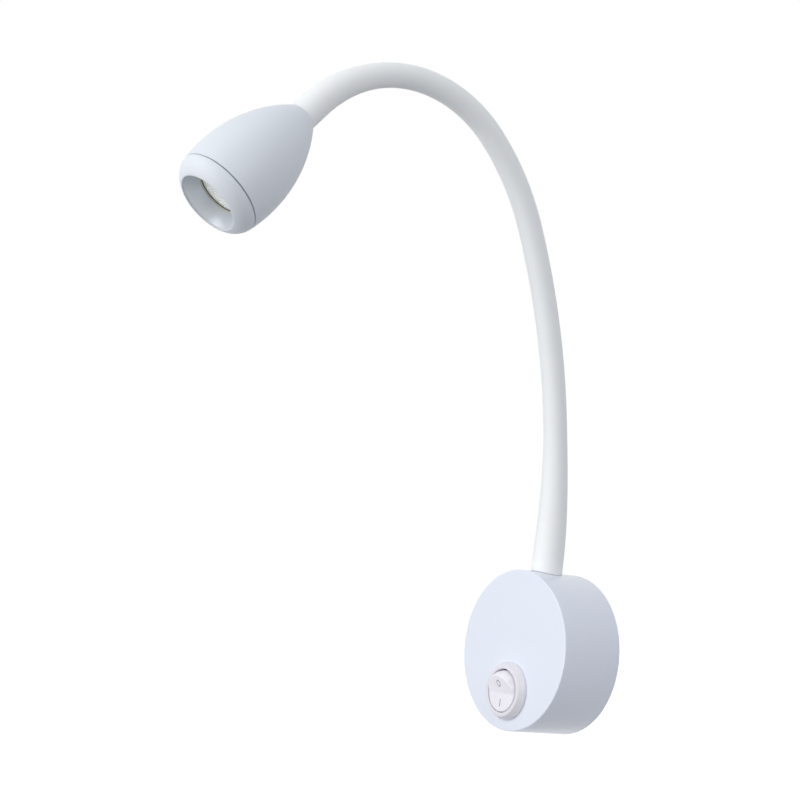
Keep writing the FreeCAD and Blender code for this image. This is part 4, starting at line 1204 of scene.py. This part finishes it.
    def _honeycomb(self, front: float, plate: float, limit: float) -> None:
        """Raise the lens's six-sided facets.

        Args:
            front: The foremost height of a facet.
            plate: The height that the facets stand on.
            limit: The radius of the field that they fill.
        """
        bm = bmesh.new()
        row_step = self.facet * math.sqrt(3) / 2
        foot = self.facet * self.facet_foot
        rows = int(limit / row_step) + 1
        for row in range(-rows, rows + 1):
            shift = self.facet / 2 if row % 2 else 0.0
            for column in range(-rows - 2, rows + 3):
                x, y = column * self.facet + shift, row * row_step
                if math.hypot(x, y) > limit - foot:
                    continue
                made = bmesh.ops.create_cone(
                    bm, cap_ends=True, segments=6, radius1=foot * MM,
                    radius2=self.facet * self.facet_top * MM, depth=(plate - front) * MM,
                    matrix=Matrix.Translation(Vector((x, y, (front + plate) / 2)) * MM)
                    @ Matrix.Rotation(math.pi, 4, "X") @ Matrix.Rotation(math.radians(30), 4, "Z"))
                crown = [f for f in {f for v in made["verts"] for f in v.link_faces}
                         if all(v.co.z < (front + self.crown_band) * MM for v in f.verts)]
                bmesh.ops.inset_region(bm, faces=crown,
                                       thickness=self.facet * self.facet_crown * MM,
                                       depth=self.facet_height * self.facet_dome * MM)
        piece = finished(bm, "lens_facets", LENS_ACRYLIC, self.place(), self.facet_sharp)
        settle(piece, "head", "lens_clear")


# ---- Stage, light and camera -------------------------------------------------------------------

@dataclass(frozen=True)
class SoftLight:
    """One soft square light: its name, its place and side in metres and its power in watts."""

    name: str
    at: tuple[float, float, float]
    side: float
    power: float


# A broad key from the front, a low light under it, a top light and a weak fill.
LIGHTS = (
    SoftLight("key", (-0.22, -1.35, 0.34), 1.1, 8.9),
    SoftLight("low", (-0.3, -0.9, -0.26), 0.4, 1.4),
    SoftLight("top", (0.1, -0.35, 1.3), 0.7, 1.2),
    SoftLight("fill", (1.3, -0.4, 0.7), 0.8, 4.4),
)


@dataclass
class Studio:
    """Plain pale surroundings, soft light and a camera where the photograph was taken.

    Places and sizes are in metres, apart from the sensor's millimetres and the photograph's pixels.
    """

    azimuth: float = 54.9
    elevation: float = -3.53
    roll: float = 7.04
    camera_at: tuple[float, float, float] = (0.6532, -0.5564, 0.0415)
    focal_pixels: float = 2100.0
    frame_pixels: float = 800.0
    sensor: float = 36.0
    clip_start: float = 0.05
    light_aim: tuple[float, float, float] = (0.0, -0.09, 0.09)
    light_colour: str = "#FFFFFF"
    floor_drop: float = 0.30
    floor_size: float = 12.0
    floor_colour: str = "#B4B4B6"
    floor_glow: float = 0.9
    ambient: float = 0.5
    ambient_colour: str = "#F2F7FF"

    def build(self) -> None:
        """Set the view, the world, the floor, the lights and the camera."""
        bpy.context.scene.view_settings.view_transform = "Standard"
        self._world()
        self._floor()
        for light in LIGHTS:
            self._light(light)
        self._camera()

    def _seen(self, tree: bpy.types.NodeTree) -> bpy.types.NodeSocket:
        """Tell the rays that look straight, in gloss or through glass from those that light.

        Args:
            tree: The material's or world's node tree.

        Returns:
            A value that is 1 for the rays that look and 0 for the others.
        """
        path = add_node(tree, "ShaderNodeLightPath")
        first = add_node(tree, "ShaderNodeMath", {"operation": "MAXIMUM"}, {
            0: path.outputs["Is Camera Ray"], 1: path.outputs["Is Glossy Ray"]})
        both = add_node(tree, "ShaderNodeMath", {"operation": "MAXIMUM"}, {
            0: first.outputs[0], 1: path.outputs["Is Transmission Ray"]})
        return both.outputs[0]

    def _world(self) -> None:
        """A white world to look at, and a dimmer one that lights the lamp."""
        world = bpy.data.worlds.new("studio")
        bpy.context.scene.world = world
        world.use_nodes = True
        tree = world.node_tree
        tree.nodes.clear()
        lit = add_node(tree, "ShaderNodeBackground", inputs={
            "Color": linear(self.ambient_colour), "Strength": self.ambient})
        shown = add_node(tree, "ShaderNodeBackground", inputs={
            "Color": WHITE, "Strength": 1.0})
        mix = add_node(tree, "ShaderNodeMixShader", inputs={
            0: self._seen(tree), 1: lit.outputs[0], 2: shown.outputs[0]})
        add_node(tree, "ShaderNodeOutputWorld", inputs={"Surface": mix.outputs[0]})

    def _floor(self) -> None:
        """A pale floor well below the lamp that reads as white and keeps a shadow."""
        bm = bmesh.new()
        bmesh.ops.create_grid(bm, x_segments=1, y_segments=1, size=self.floor_size / 2,
                              matrix=Matrix.Translation((0, 0, -self.floor_drop)))
        mesh = bpy.data.meshes.new("floor")
        bm.to_mesh(mesh)
        bm.free()
        floor = bpy.data.objects.new("floor", mesh)
        bpy.context.scene.collection.objects.link(floor)
        material = bpy.data.materials.new("pale_floor")
        material.use_nodes = True
        tree = material.node_tree
        tree.nodes.clear()
        diffuse = add_node(tree, "ShaderNodeBsdfDiffuse", inputs={
            "Color": linear(self.floor_colour)})
        glow = add_node(tree, "ShaderNodeEmission", inputs={
            "Color": WHITE, "Strength": self.floor_glow})
        dark = add_node(tree, "ShaderNodeEmission", inputs={"Strength": 0.0})
        seen = add_node(tree, "ShaderNodeMixShader", inputs={
            0: self._seen(tree), 1: dark.outputs[0], 2: glow.outputs[0]})
        both = add_node(tree, "ShaderNodeAddShader", inputs={
            0: diffuse.outputs[0], 1: seen.outputs[0]})
        add_node(tree, "ShaderNodeOutputMaterial", inputs={"Surface": both.outputs[0]})
        mesh.materials.append(material)

    def _light(self, light: SoftLight) -> None:
        """Add one soft light that looks at the middle of the object.

        Args:
            light: Its name, place, size and power.
        """
        data = bpy.data.lights.new(light.name, "AREA")
        data.shape = "SQUARE"
        data.size = light.side
        data.energy = light.power
        data.color = linear(self.light_colour)[:3]
        lamp = bpy.data.objects.new(light.name, data)
        bpy.context.scene.collection.objects.link(lamp)
        lamp.location = light.at
        aim = Vector(self.light_aim) - Vector(light.at)
        lamp.rotation_euler = aim.to_track_quat("-Z", "Y").to_euler()

    def _camera(self) -> None:
        """Stand the camera where the photograph was taken from."""
        data = bpy.data.cameras.new("camera")
        data.sensor_width = self.sensor
        data.lens = self.focal_pixels / self.frame_pixels * self.sensor
        data.clip_start = self.clip_start
        turn, rise, roll = (math.radians(a) for a in (self.azimuth, self.elevation, self.roll))
        back = Vector((math.sin(turn) * math.cos(rise), -math.cos(turn) * math.cos(rise),
                       math.sin(rise)))
        right = Vector((math.cos(turn), math.sin(turn), 0))
        up = back.cross(right)
        right, up = (math.cos(roll) * right + math.sin(roll) * up,
                     math.cos(roll) * up - math.sin(roll) * right)
        camera = bpy.data.objects.new("camera", data)
        bpy.context.scene.collection.objects.link(camera)
        axes = Matrix((right, up, back)).transposed().to_4x4()
        camera.matrix_world = Matrix.Translation(self.camera_at) @ axes
        bpy.context.scene.camera = camera


# ---- The whole lamp ----------------------------------------------------------------------------

def dress_frame() -> None:
    """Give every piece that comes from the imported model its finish."""
    for name, node in frame["nodes"].items():
        finish = NODE_FINISHES.get(name, WOUND_STEEL)
        node.data.materials.clear()
        node.data.materials.append(finish.material())


def main() -> None:
    """Build the lamp and its surroundings."""
    logging.basicConfig(level=logging.INFO, format="%(name)s: %(message)s")
    dress_frame()
    for part in (Base(), Switch(), Neck(), Head(), Studio()):
        LOG.info("building %s", type(part).__name__)
        part.build()


if __name__ == "__main__":
    main()
